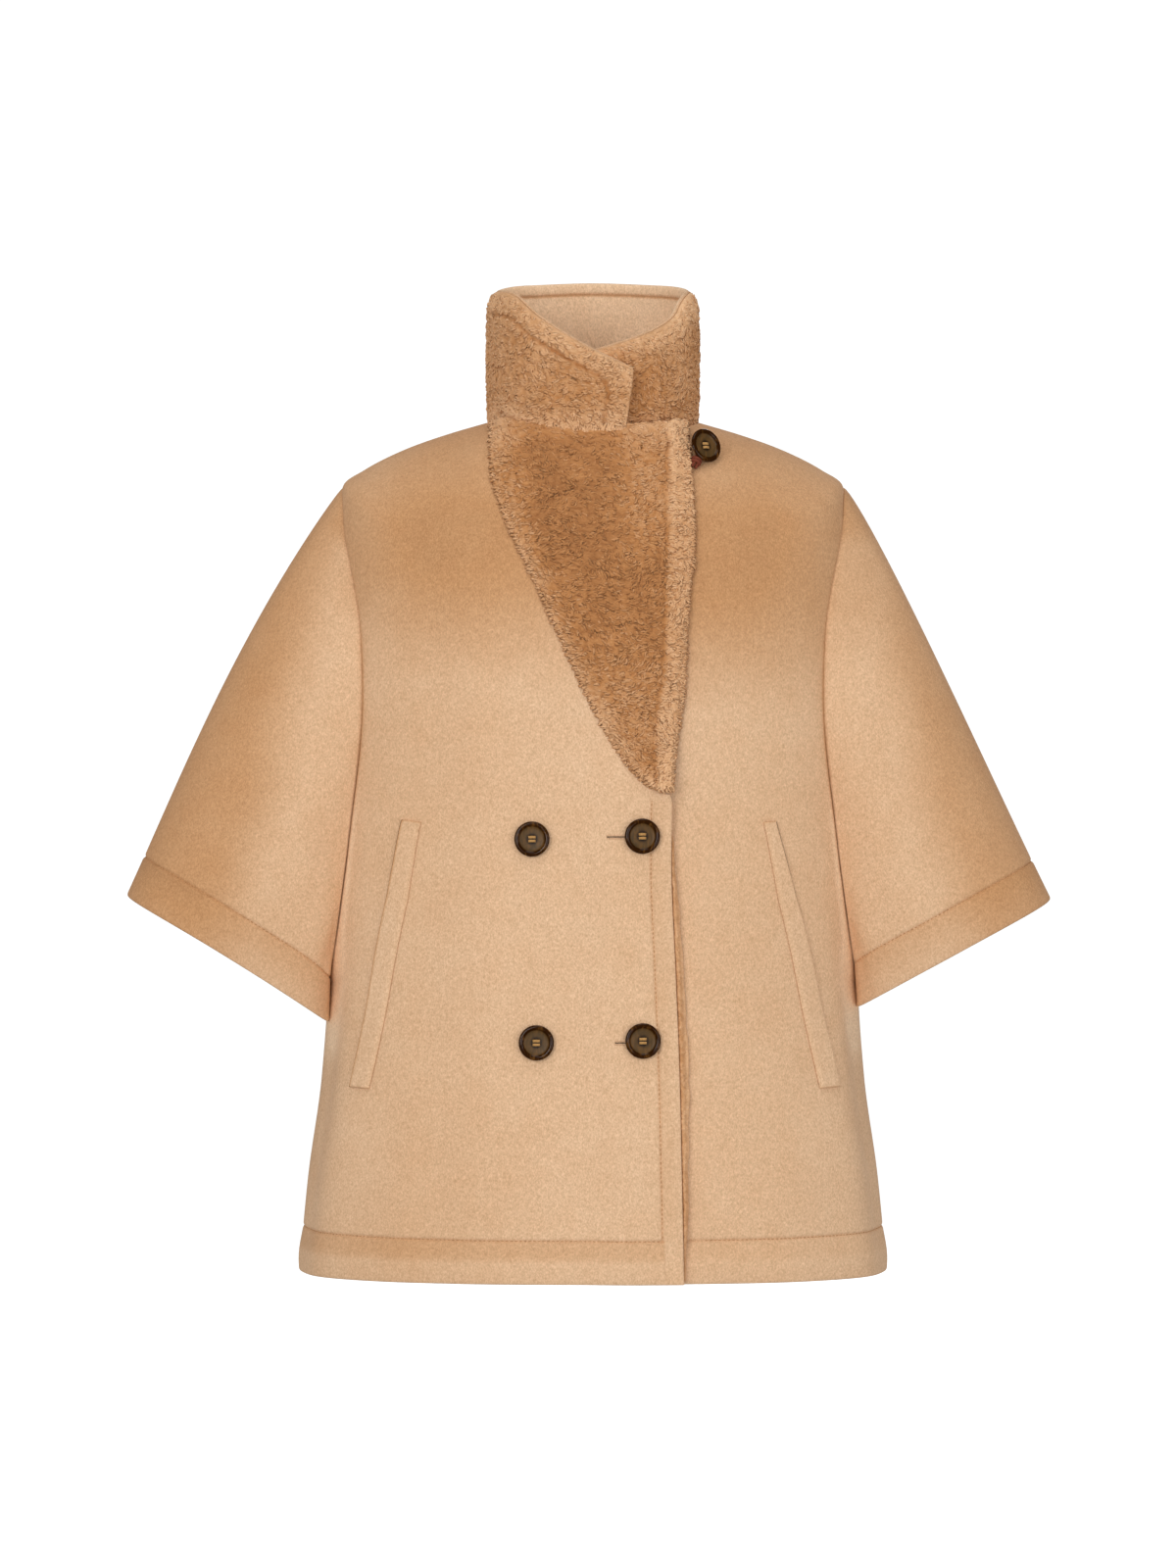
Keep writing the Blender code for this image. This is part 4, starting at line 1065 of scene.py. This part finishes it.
def fur(part, points, normals, back, height, dent, light, place, seed, fall, lock_count=0,
        tufts=None):
    """Pile over a grid of points, from its backing up, with a sunk seam where dent isn't 0
    and a colour that light shifts, which holds painted light and shade; the seam and the pile's
    gaps are painted darker as shade. place has each point's two distances on the surface, and fall
    names the edges where the pile ends. Loose locks lie on it, and tufts says across which edges
    more lie, with their measures."""
    relief = pile(*place, seed)
    keep = rounded(edge_distance(points, fall), PILE_ROUND)
    low = np.minimum(height, 0.0)
    top = low + (height - low + PILE_RELIEF * (relief - 0.35) + dent) * keep
    outer = lifted(points, normals, np.maximum(back + 0.0006, top))
    inner = lifted(points, normals, np.full(height.shape, back))[::PILE_SKIP, ::PILE_SKIP]
    mesh = wall_mesh(outer, inner, PILE_SKIP)
    patches = 0.10 * noise(points, 0.035, seed + 20) + 0.06 * noise(points, 0.012, seed + 24)
    # Painted light and shade: light and the sunk seam's painted shade, with random patches; below,
    # the relief paints shade into the pile's gaps
    shade = light + patches + np.minimum(dent, 0) * 60
    tone = np.clip(0.32 + 0.08 * relief + shade, 0, 1)
    paint(mesh, "tone", np.concatenate((tone.ravel(), np.full(inner[..., 0].size, 0.4))))
    add_piece(part + "_pile", mesh, "fur", part + "_fur")
    if not lock_count:
        return
    near = (edge_distance(points, fall) > 0.0030) & (dent > -0.0006)
    tone = 0.46 + shade
    loose = [curls(outer[near], normals[near], tone[near], lock_count, seed + 40)]
    top = lifted(points, normals, height)
    for number, (edge, measures) in enumerate(tufts.items()):
        row, inward = (0, 5) if edge in "nw" else (-1, -6)
        grids = (top, normals, tone)
        if edge in "we":
            grids = [np.swapaxes(grid, 0, 1) for grid in grids]
        line, ups, tones = (grid[row] for grid in grids)
        loose.append(edge_tufts(line, line - grids[0][inward], ups, tones,
                                seed + 60 + number, **measures))
    add_piece(part + "_curls", joined(loose), "fur")


def drawn_out(points, amount, span):
    """The same grid, its first rows drawn out by an amount past where they start."""
    down = walked(points, 0)
    way = unit(points[0] - points[8])
    return points + way * (amount * (1 - ease(down / span)))[..., None]


def build_collar_fur():
    angle, up = collar_grid(np.linspace(0, 1, COLLAR_ROWS), np.linspace(0, 1, COLLAR_COLUMNS))
    points, out = collar_point(angle, up, 0.0)
    down, across = walked(points, 0), walked(points, 1)
    from_rim, from_end = down[-1:] - down, across[:, -1:] - across
    points = drawn_out(points, FOOT_REACH, 0.010)
    at_side = np.sin(np.radians(angle)) ** 2
    share = np.clip(1 - from_rim / (RIM_REACH * (1 + 0.6 * at_side)), 0, 1)
    rolled = -RIM_ROUND * (1 + 0.6 * at_side) * (1 - np.sqrt(1 - share ** 2))
    line = np.hypot(np.maximum(0.030 - from_rim, 0), np.maximum(0.030 - from_end, 0))
    corner = np.minimum(np.minimum(from_rim, from_end),
                        np.where((from_rim < 0.030) & (from_end < 0.030), 0.030 - line, 1.0))
    on_lapped_side = ease((angle - 262) / 35)
    dent = groove(corner - COLLAR_GROOVE, 0.0022, 0.0018) * on_lapped_side
    # Painted light and the fur's own tone: paler towards the rim and the lapped end, painted light
    # at the foot against the shade where it meets the lapel, and on the sides, most high on the
    # left side; its groove's dent adds painted shade
    light = 0.16 + 0.26 * ease(1 - from_rim / 0.032) + 0.14 * ease(1 - from_end / 0.05)
    light = light + 0.30 * ease(1 - down / 0.024)
    on_left = ease((180 - angle) / 20)
    light = light + at_side * (0.14 - 0.10 * on_left + 0.34 * on_left * ease(1 - from_rim / 0.045))
    tufts = {"n": {"inside": 0.0060, "outside": 0.0034, "drop": 0.0006, "pitch": 0.0009},
             "e": {"outside": 0.0010, "drop": 0.0030}}
    fur("collar", points, out, -(FUR_BACKING + FUR_PILE), rolled, dent, light, (across, down),
        seed=11, fall="swe", lock_count=COLLAR_LOCKS, tufts=tufts)


def build_lapel():
    tip = level_at(right_edge_x(LAPEL_TIP_Z), LAPEL_TIP_Z)
    levels = np.linspace(0, tip - LAPEL_TIP_GAP, LAPEL_ROWS)
    angle, at = torso_grid(levels, lambda at: angle_on_edge(lapel_seam_x, at, LAPEL_GAP),
                           lambda at: angle_on_edge(right_edge_x, at), 0.0012, AT_EDGE, AT_EDGE)
    share = np.linspace(0, 1, (angle.shape[1] - 1) // PILE_SKIP * PILE_SKIP + 1)
    angle = angle[:, :1] + (angle[:, -1:] - angle[:, :1]) * share
    at = np.broadcast_to(levels[:, None], angle.shape)
    points, normals = over_torso(angle, at, front_height(angle, at))
    across = walked(points, 1)
    height = FUR_PILE * (PILE_AT_EDGE + (1 - PILE_AT_EDGE)
                         * ease(np.minimum(share, 1 - share) / PILE_EDGE_WIDTH))
    height = height * (1.30 - 0.30 * ease(walked(points, 0) / LAPEL_TOP_SPAN))
    points = drawn_out(points, FOOT_REACH * ease((1 - share) / 0.2), 0.010)
    x, z = points[..., 0], points[..., 2]
    from_groove = x - lapel_groove_x(z)
    # Painted light and the pile's own tone: paler right of its groove, high up and along its left
    # edge; painted light at its top against the shade under the collar; a little paler low down;
    # its groove's dent adds painted shade
    high = ease((z + 0.12) / 0.06)
    light = 0.34 * ease((from_groove + 0.004) / 0.010) + 0.18 * high * ease(x / 0.055)
    light = light + 0.26 * ease(1 - across / (0.020 + 0.020 * high)) + 0.26 * ease(1 + z / 0.036)
    light = light + 0.10 * ease((-0.17 - z) / 0.06)
    tufts = {"w": {"outside": 0.0022, "drop": 0.0020}, "e": {"outside": 0.0018, "drop": 0.0034},
             "s": {"outside": 0.0020, "drop": 0.0020}}
    fur("lapel", points, normals, -FUR_BACKING, height, groove(from_groove, 0.0009, 0.0022),
        light, (x, z), seed=71, fall="swe", lock_count=LAPEL_LOCKS, tufts=tufts)


def build_facing():
    """A strip of pile along the right front's edge, that shows beside the edge."""
    start = level_at(right_edge_x(LAPEL_TIP_Z), LAPEL_TIP_Z) + LAPEL_TIP_GAP
    levels = np.linspace(start, FACING_END, FACING_ROWS)[:, None]
    first = angle_on_edge(right_edge_x, levels, -FACING_WIDTH)
    last = angle_on_edge(lambda z: right_edge_x(z) + 0.9 * facing_shows(z) - 0.0050, levels)
    share = np.concatenate((np.linspace(0, 0.55, 9)[:-1], np.linspace(0.55, 1, 25)))
    angle = first + (last - first) * share
    wander = 0.0016 * noise(torso(angle, levels), 0.011, 31) * ease((share - 0.7) / 0.3)
    angle = angle + wander / metres_a_degree(angle, levels)
    at = np.broadcast_to(levels, angle.shape)
    points, normals = over_torso(angle, at, torso_crease(angle, at))
    x, z = points[..., 0], points[..., 2]
    past = x - right_edge_x(z)
    raised = ease((past + 0.0002) / 0.0012) * (1 - ease((past - 0.0020) / 0.0040))
    dent = np.where(past > 0.0002, 0.0, -0.0009)
    # Painted shadow: the pile is darker next to the front's edge, which shades it, and paler
    # further out; where the edge hides it, it sinks and its dent paints it darker
    fur("facing", points, normals, LAYER, LAYER + FACING + FACING_RISE * raised, dent,
        0.38 + 0.50 * ease((past - 0.003) / 0.006), (x, z), seed=131, fall="nse")


# Sewing

def stitches(name, points, normals):
    """A row of stitches along a line over the cloth, half sunk in it."""
    walk = walked(points[None], 1)[0]
    places = np.arange(STITCH_PITCH, walk[-1] - STITCH_PITCH / 2, STITCH_PITCH)
    spots = places[:, None] + STITCH_LENGTH * np.array((-0.5, -0.3, 0.3, 0.5))
    ups = along_line(places, walk, normals)
    arch = np.array((-0.5, 0.35, 0.35, -0.5)) * STITCH_RADIUS
    lines = along_line(spots, walk, points) + ups[:, None] * arch[None, :, None]
    radii = STITCH_RADIUS * np.array((0.6, 1.0, 1.0, 0.6)) * np.ones((len(places), 1))
    add_piece("stitches_" + name, tube_mesh(lines, radii, ups), "sewing")


def torso_stitches(name, angle, at):
    lift = right_front_lift(angle, at) * ("right" in name)
    stitches(name, *over_torso(angle, at, torso_crease(angle, at) - GROOVE_DEPTH + lift))


def build_stitches():
    """The hem's and cuffs' sewn lines, and the one beside the right front's edge."""
    at = 1 - HEM_STITCH / HEM_METRES
    beside = [float(angle_on_edge(right_edge_x, at, side * EDGE_STITCH)) for side in (-1, 1)]
    for name, first, last in (("hem_front_right", -89.0, beside[0]),
                              ("hem_front_left", beside[1], 89.0), ("hem_back", 91.0, 269.0)):
        torso_stitches(name, np.linspace(first, last, HEM_PLACES), np.full(HEM_PLACES, at))
    top = level_at(right_edge_x(LAPEL_TIP_Z) - EDGE_STITCH, LAPEL_TIP_Z)
    levels = np.linspace(top, at, EDGE_PLACES)
    torso_stitches("edge_right", angle_on_edge(right_edge_x, levels, -EDGE_STITCH), levels)
    for sleeve, (half, first, last) in itertools.product(SLEEVES, CUFF_STITCHES):
        around = np.linspace(first, last, CUFF_PLACES)
        length = sleeve_length(sleeve, around)
        room = np.minimum(1, CUFF_ROOM * length / beside_edge(HEM_STITCH)[-1])
        along = 1 - HEM_STITCH * room / length
        normals = sleeve_normal(sleeve, around, along)
        points = lifted(sleeve_point(sleeve, around, along), normals,
                        sleeve_crease(around, along) - GROOVE_DEPTH)
        stitches(f"sleeve_{sleeve[0]}_{half}", points, normals)


def build_buttonholes():
    """Two worked buttonholes: a slit with a row of stitches over each of its edges."""
    reach = np.array((0.0003, 0.0006, 0.0011, 0.0016))[:, None]
    rise = np.array((-0.0003, 0.00040, 0.00035, -0.0002))[:, None]
    for number, (first, last, z) in enumerate(BUTTONHOLES, 1):
        lines, spots = [], []
        for x in np.arange(first, last, BUTTONHOLE_PITCH):
            spot = front_place(x, z)
            place, normal = over_torso(*spot, front_height(*spot))
            down = unit(np.cross(normal, X_AXIS))
            lines += [place + side * down * reach + normal * rise for side in (-1, 1)]
            spots.append(place)
        lines, slit = np.array(lines), np.array(spots)[None, ::4]
        sewing = even_tubes(lines, BUTTONHOLE_THREAD, X_AXIS)
        add_piece(f"buttonhole_{number}_sewing", sewing, "wool")
        # The slit is a dark tube of painted shadow
        slit = even_tubes(slit, BUTTONHOLE_SLIT, Z_AXIS)
        add_piece(f"buttonhole_{number}_slit", slit, "shade")


# Buttons

def button_mesh(shank):
    """A turned button with a raised rim and four holes, its back at the origin."""
    profile = list(BUTTON_PROFILE)
    if shank:
        profile[-1:] = [(NECK_SHANK_RADIUS, 0.0), (NECK_SHANK_RADIUS, -shank), (0.0, -shank)]
    points = [(radius, 0.0, height) for radius, height in profile]
    edges = [(i, i + 1) for i in range(len(points) - 1)]
    turned = add_object("turned", new_mesh(points, [], edges))
    screw = turned.modifiers.new("turn", "SCREW")
    screw.steps = screw.render_steps = BUTTON_STEPS
    screw.use_merge_vertices = True
    screw.merge_threshold = 0.00001
    cutters = []
    for i in range(BUTTON_HOLES):
        corner = 2 * math.pi * (i + 0.5) / BUTTON_HOLES
        place = (BUTTON_HOLE_SPREAD * math.cos(corner), BUTTON_HOLE_SPREAD * math.sin(corner),
                 BUTTON_FLOOR + CUTTER_LENGTH / 2)
        bpy.ops.mesh.primitive_cylinder_add(vertices=16, radius=BUTTON_HOLE,
                                            depth=CUTTER_LENGTH, location=place)
        cutters.append(bpy.context.object)
        cut = turned.modifiers.new(f"hole_{i}", "BOOLEAN")
        cut.object, cut.operation = cutters[-1], "DIFFERENCE"
    bpy.context.view_layer.update()
    result = bpy.data.meshes.new_from_object(turned.evaluated_get(
        bpy.context.evaluated_depsgraph_get()))
    for obj in (turned, *cutters):
        bpy.data.objects.remove(obj)
    return result


def thread_mesh():
    """Two strands of thread side by side from hole to hole, each of three threads."""
    t = np.array((-1.35, -1.15, -0.5, 0.0, 0.5, 1.15, 1.35))[:, None]
    rise = np.array((-0.0006, 0.0003, 0.0006, 0.0007, 0.0006, 0.0003, -0.0006))[:, None]
    lines = np.array([X_AXIS * t * BUTTON_HOLE_SPREAD + Y_AXIS * (offset + strand)
                      + Z_AXIS * (BUTTON_FACE + rise)
                      for strand in (-0.0015, 0.0015) for offset in (-0.0006, 0.0, 0.0006)])
    return even_tubes(lines, THREAD_RADIUS, Z_AXIS, 6)


def facing(place, normal):
    """A transform that puts the origin at place and +Z along normal."""
    turn = Vector(normal).normalized().to_track_quat("Z", "Y").to_matrix().to_4x4()
    return Matrix.Translation(Vector(place)) @ turn


def build_buttons():
    stands = []
    for name, x, z in FRONT_BUTTONS:
        spot = front_place(x, z)
        stands.append((name, 0.0, facing(*over_torso(*spot, front_height(*spot) + SEAM))))
    place, _ = over_torso(*front_place(*NECK_BUTTON), NECK_SHANK + LAYER)
    stands.append(("button_neck", NECK_SHANK, facing(place, NECK_BUTTON_FACES)))
    for name, shank, stand in stands:
        button = add_piece(name + "_turned", button_mesh(shank), "horn", name)
        radius = np.array([math.hypot(v.co.x, v.co.y) for v in button.data.vertices])
        paint(button.data, "radius", radius * 1000)
        thread = add_piece(name + "_thread", thread_mesh(), "thread")
        for piece in (button, thread):
            piece.data.transform(stand)


def build_loop():
    """The end of the cord loop that comes out beside the neck button, with its knot."""
    place, _ = over_torso(*front_place(*LOOP_KNOT), LOOP_HIGH)
    t = np.linspace(-1, 1, 7)[:, None]
    along = math.cos(LOOP_TURN) * X_AXIS + math.sin(LOOP_TURN) * Y_AXIS
    beside = np.cross(Z_AXIS, along)
    lines = [along * 0.0062 * t + beside * offset + Z_AXIS * (0.0016 * (1 - t ** 2))
             for offset in (-0.0016, 0.0016)]
    turn = math.pi * (0.5 + 0.62 * t)
    lines += [along * shift - beside * 0.0036 * np.cos(turn) + Z_AXIS * (0.0034 * np.sin(turn))
              for shift in (-0.0014, 0.0012)]
    knot = even_tubes(np.array(lines), KNOT_RADIUS, (Z_AXIS, Z_AXIS, along, along), 8)
    knot = add_piece("loop_knot", knot, "cord")
    knot.data.transform(facing(place, NECK_BUTTON_FACES))
    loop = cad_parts["loop_neck"]
    loop.data.materials.clear()
    loop.data.materials.append(materials["cord"])


# Materials

def linear(rgb):
    """A colour from 0 to 255 as the eye sees it, as the shader takes it."""
    share = [value / 255 for value in rgb]
    return (*(s / 12.92 if s <= 0.04045 else ((s + 0.055) / 1.055) ** 2.4 for s in share), 1.0)


def add_node(tree, kind, inputs=None, **settings):
    made = tree.nodes.new(kind)
    for name, value in settings.items():
        setattr(made, name, value)
    for name, value in (inputs or {}).items():
        if isinstance(value, bpy.types.NodeSocket):
            tree.links.new(value, made.inputs[name])
        else:
            made.inputs[name].default_value = value
    return made


def drawn_long(tree, place, scale):
    """The same place with its axes scaled, to draw what lies there out along one."""
    return add_node(tree, "ShaderNodeMapping", {"Vector": place, "Scale": scale}).outputs[0]


def speckle(tree, place, scale, detail=2.0, roughness=0.6, distortion=0.0):
    values = {"Vector": place, "Scale": scale, "Detail": detail, "Roughness": roughness,
              "Distortion": distortion}
    return add_node(tree, "ShaderNodeTexNoise", values).outputs[0]


def mix(tree, share, first, second, blend="MIX"):
    """A mix of two colours; the sockets are numbered, as their names repeat."""
    return add_node(tree, "ShaderNodeMix", {0: share, 6: first, 7: second}, data_type="RGBA",
                    blend_type=blend).outputs[2]


def remap(tree, value, low, high, to_low=0.0, to_high=1.0):
    values = {"Value": value, "From Min": low, "From Max": high, "To Min": to_low,
              "To Max": to_high}
    return add_node(tree, "ShaderNodeMapRange", values).outputs[0]


def attribute(tree, name):
    return add_node(tree, "ShaderNodeAttribute", attribute_name=name).outputs["Fac"]


def new_material(name, roughness, sheen=0.0, tint=(1.0, 1.0, 1.0, 1.0)):
    material = bpy.data.materials.new(name)
    material.use_nodes = True
    shader = material.node_tree.nodes["Principled BSDF"]
    for socket, value in (("Roughness", roughness), ("Sheen Weight", sheen),
                          ("Sheen Roughness", 0.45), ("Sheen Tint", tint)):
        shader.inputs[socket].default_value = value
    place = add_node(material.node_tree, "ShaderNodeTexCoord").outputs["Object"]
    return material, material.node_tree, shader, place


def bump(tree, shader, height, strength, distance):
    made = add_node(tree, "ShaderNodeBump", {"Height": height, "Strength": strength,
                                             "Distance": distance})
    tree.links.new(made.outputs[0], shader.inputs["Normal"])


def grey_of(tree, value):
    return add_node(tree, "ShaderNodeCombineColor", {k: value for k in range(3)}).outputs[0]


def varied(tree, colour, value, low, high, amount, tints=(1.0, 1.2, 1.5)):
    """A colour that a number from low to high turns darker or lighter. tints says by how
    much in its red, green and blue."""
    dark, light = ((*(1 + sign * amount * tint for tint in tints), 1.0) for sign in (-1, 1))
    shade = mix(tree, remap(tree, value, low, high), dark, light)
    return mix(tree, 1.0, colour, shade, "MULTIPLY")


def ramp(tree, value, stops):
    """A colour for a number, from rows of a place and a colour."""
    made = add_node(tree, "ShaderNodeValToRGB", {"Fac": value})
    elements = made.color_ramp.elements
    while len(elements) < len(stops):
        elements.new(0.5)
    for element, (place, colour) in zip(elements, stops):
        element.position, element.color = place, linear(colour)
    return made.outputs[0]


def wool_material(name, deepest=0.0):
    """Brushed coat wool: short fibres and a fine mottle over the tone of its nap, which carries
    painted light and shade.
    """
    material, tree, shader, place = new_material(name, 0.92, 0.06, linear((255, 226, 196)))
    fibres = speckle(tree, drawn_long(tree, place, (1.0, 1.0, 0.6)), 900, 2.0, 0.7)
    mottle = speckle(tree, place, 360, 2.0, 0.6)
    clouds = speckle(tree, place, 45, 2.0)
    # The nap's tone holds painted light and shade, from the palest colour to the seams' shade
    share = remap(tree, attribute(tree, "nap_and_shading"), -0.4, 1.6, deepest, 1.0)
    colour = ramp(tree, share, ((0.0, WOOL_PAINTED_LIGHT), (0.2, WOOL_LIGHT), (0.7, WOOL_DEEP),
                                (1.0, WOOL_SHADE)))
    colour = varied(tree, colour, fibres, 0.28, 0.72, 0.17)
    colour = varied(tree, colour, mottle, 0.30, 0.70, 0.07)
    colour = varied(tree, colour, clouds, 0.25, 0.75, 0.015, (1.0, 2.2, 3.4))
    tree.links.new(colour, shader.inputs["Base Color"])
    bump(tree, shader, fibres, 0.5, 0.0010)
    return material


def clumps(tree, place, scale):
    """Winding clumps of strands: 1 in their middles and 0 between them, longer across."""
    sway = add_node(tree, "ShaderNodeTexNoise", {"Vector": place, "Scale": 150.0, "Detail": 1.0})
    bent = add_node(tree, "ShaderNodeVectorMath", {0: sway.outputs["Color"], 1: (0.009,) * 3,
                                                   2: place}, operation="MULTIPLY_ADD")
    flat = drawn_long(tree, bent.outputs[0], (0.55, 0.55, 1.4))
    cells = add_node(tree, "ShaderNodeTexVoronoi", {"Vector": flat, "Scale": scale})
    return remap(tree, cells.outputs["Distance"], 0.75, 0.15)


def fur_material():
    """Curly pile: crimped strands, deep brown in its gaps and between its clumps as painted shade,
    and paler along its edges.
    """
    material, tree, shader, place = new_material("curly_pile", 0.85, 0.22,
                                                 linear((255, 206, 158)))
    strands = speckle(tree, drawn_long(tree, place, (0.5, 0.5, 1.5)), 900, 2.0, 0.7, 0.8)
    tone = attribute(tree, "tone")
    colour = ramp(tree, tone, ((0.0, FUR_DEEP), (0.45, FUR_MIDDLE), (1.0, FUR_LIGHT)))
    wide, narrow = clumps(tree, place, 300), clumps(tree, place, 620)
    tints = (1.0, 1.4, 2.1)
    # The clumps paint shade between them; the strands vary the colour at random
    for value, low, high, amount in ((wide, 0.0, 1.0, 0.05), (narrow, 0.0, 1.0, 0.05),
                                     (strands, 0.3, 0.7, 0.06)):
        colour = varied(tree, colour, value, low, high, amount, tints)
    tree.links.new(colour, shader.inputs["Base Color"])
    height = add_node(tree, "ShaderNodeMath", {0: wide, 1: narrow}, operation="ADD").outputs[0]
    bump(tree, shader, height, 0.40, 0.0010)
    return material


def horn_material():
    """Polished dark horn with faint streaks, and a matt middle that painted shade darkens round
    its holes.
    """
    material, tree, shader, place = new_material("dark_horn", 0.2)
    shader.inputs["Specular IOR Level"].default_value = 0.25
    streaks = speckle(tree, drawn_long(tree, place, (1.0, 0.3, 0.35)), 260, 3.0, 0.6, 1.2)
    radius = attribute(tree, "radius")
    matt = remap(tree, radius, 10.3, 9.4)
    # Painted shade: the dish darkens towards the sunk holes in its middle
    middle_shade_fade = remap(tree, radius, 3.6, 5.6)
    rim, dish = (mix(tree, remap(tree, streaks, low, high, 0.0, most), linear(colour),
                     linear(HORN_STREAK))
                 for low, high, most, colour in ((0.52, 0.78, 0.55, HORN_RIM),
                                                 (0.35, 0.7, 0.35, HORN_DISH)))
    dish = mix(tree, middle_shade_fade, linear(HORN_MIDDLE_SHADE), dish)
    tree.links.new(mix(tree, matt, rim, dish), shader.inputs["Base Color"])
    tree.links.new(remap(tree, matt, 0.0, 1.0, 0.10, 0.42), shader.inputs["Roughness"])
    bump(tree, shader, speckle(tree, place, 1500), 0.08, 0.0002)
    return material


def plain_material(name, colour, scale, roughness=0.8, depth=0.12):
    """Thread or cord, and the slits' painted shadow: one colour with twisted strands in it."""
    material, tree, shader, place = new_material(name, roughness, 0.02)
    turned = add_node(tree, "ShaderNodeMapping", {"Vector": place, "Rotation": (0.5, 0.7, 0.9)})
    twist = add_node(tree, "ShaderNodeTexWave", {"Vector": turned.outputs[0], "Scale": scale,
                                                 "Distortion": 1.5, "Detail": 2.0})
    value = twist.outputs["Fac"]
    grey = grey_of(tree, remap(tree, value, 0.0, 1.0, 1 - depth, 1 + depth))
    tree.links.new(mix(tree, 1.0, linear(colour), grey, "MULTIPLY"), shader.inputs["Base Color"])
    bump(tree, shader, value, 0.4, 0.0004)
    return material


def stage_material():
    material, tree, shader, place = new_material("studio_paper", 0.95)
    value = remap(tree, speckle(tree, place, 3.0), 0.2, 0.8, 0.54, 0.56)
    tree.links.new(grey_of(tree, value), shader.inputs["Base Color"])
    shader.inputs["Emission Color"].default_value = (1.0, 1.0, 1.0, 1.0)
    shader.inputs["Emission Strength"].default_value = 0.78
    return material


# Stage, lights and camera

FLOOR_Z, FLOOR_RADIUS, WALL_BEND, WALL_TOP, STAGE_SIDES = -1.05, 6.0, 2.0, 7.0, 64


def build_stage():
    """A pale round floor that curves up into a wall. It neither shades nor lights the cloth."""
    bend = np.linspace(0, np.pi / 2, 20)
    radii = np.concatenate(((0.0,), FLOOR_RADIUS + WALL_BEND * np.sin(bend),
                            (FLOOR_RADIUS + WALL_BEND,)))
    heights = np.concatenate(((FLOOR_Z,), FLOOR_Z + WALL_BEND * (1 - np.cos(bend)), (WALL_TOP,)))
    turn = 2 * np.pi * np.arange(STAGE_SIDES) / STAGE_SIDES
    vertices = [(radius * x, radius * y, height) for radius, height in zip(radii, heights)
                for x, y in zip(np.cos(turn), np.sin(turn))]
    first = np.arange((len(radii) - 1) * STAGE_SIDES).reshape(-1, STAGE_SIDES)
    beside = np.roll(first, -1, axis=1)
    quads = np.stack((first, beside, beside + STAGE_SIDES, first + STAGE_SIDES), -1)
    mesh = new_mesh(vertices, quads.reshape(-1, 4).tolist())
    mesh.name = "backdrop"
    mesh.materials.append(stage_material())
    mesh.shade_smooth()
    backdrop = add_object("backdrop", mesh)
    backdrop.visible_diffuse = backdrop.visible_shadow = backdrop.visible_glossy = False


LIGHTS = (     # name, place, what it faces, size, power
    ("key", (-1.5, -3.3, 0.35), (0.0, 0.0, -0.30), 1.6, 42.0),
    ("fill", (1.9, -3.0, -0.30), (0.0, 0.0, -0.30), 2.0, 27.0),
    ("top", (0.0, -1.0, 2.4), (0.0, 0.0, -0.10), 1.6, 11.0),
    ("behind", (0.6, 3.4, 0.7), (0.0, 0.0, -0.30), 2.0, 26.0),
)
WORLD_STRENGTH = 0.50
CAMERA_PLACE = (-0.0040, -3.6, -0.2944)
CAMERA_LENS = 101.25


def build_lights():
    for name, place, target, size, power in LIGHTS:
        lamp = bpy.data.lights.new(name, "AREA")
        lamp.shape, lamp.size, lamp.energy = "SQUARE", size, power
        light = add_object(name, lamp)
        light.location = place
        light.rotation_euler = (Vector(target) - Vector(place)).to_track_quat("-Z", "Y").to_euler()
    world = bpy.data.worlds.new("studio")
    world.use_nodes = True
    background = world.node_tree.nodes["Background"]
    background.inputs["Color"].default_value = (1.0, 1.0, 1.0, 1.0)
    background.inputs["Strength"].default_value = WORLD_STRENGTH
    world.cycles_visibility.glossy = False
    bpy.context.scene.world = world


def build_camera():
    lens = bpy.data.cameras.new("camera")
    lens.lens = CAMERA_LENS
    camera = add_object("camera", lens)
    camera.location = CAMERA_PLACE
    camera.rotation_euler = (math.pi / 2, 0.0, 0.0)
    bpy.context.scene.camera = camera


# The whole garment


def main():
    build_camera()
    build_stage()
    build_lights()
    bpy.context.scene.view_settings.view_transform = "Standard"
    materials.update(wool=wool_material("camel_wool"), sewing=wool_material("camel_thread", 0.72),
                     fur=fur_material(), horn=horn_material(),
                     thread=plain_material("tan_thread", THREAD, 900),
                     cord=plain_material("brown_cord", CORD, 700),
                     shade=plain_material("dark_slit", SLIT_SHADE, 400, 1.0))
    build_front_right()
    build_front_left()
    build_back()
    for sleeve, half in itertools.product(SLEEVES, ("front", "back")):
        build_sleeve_half(sleeve, half)
    build_collar_wool()
    build_welt("right", -1)
    build_welt("left", 1)
    build_collar_fur()
    build_lapel()
    build_facing()
    build_stitches()
    build_buttonholes()
    build_buttons()
    build_loop()


main()
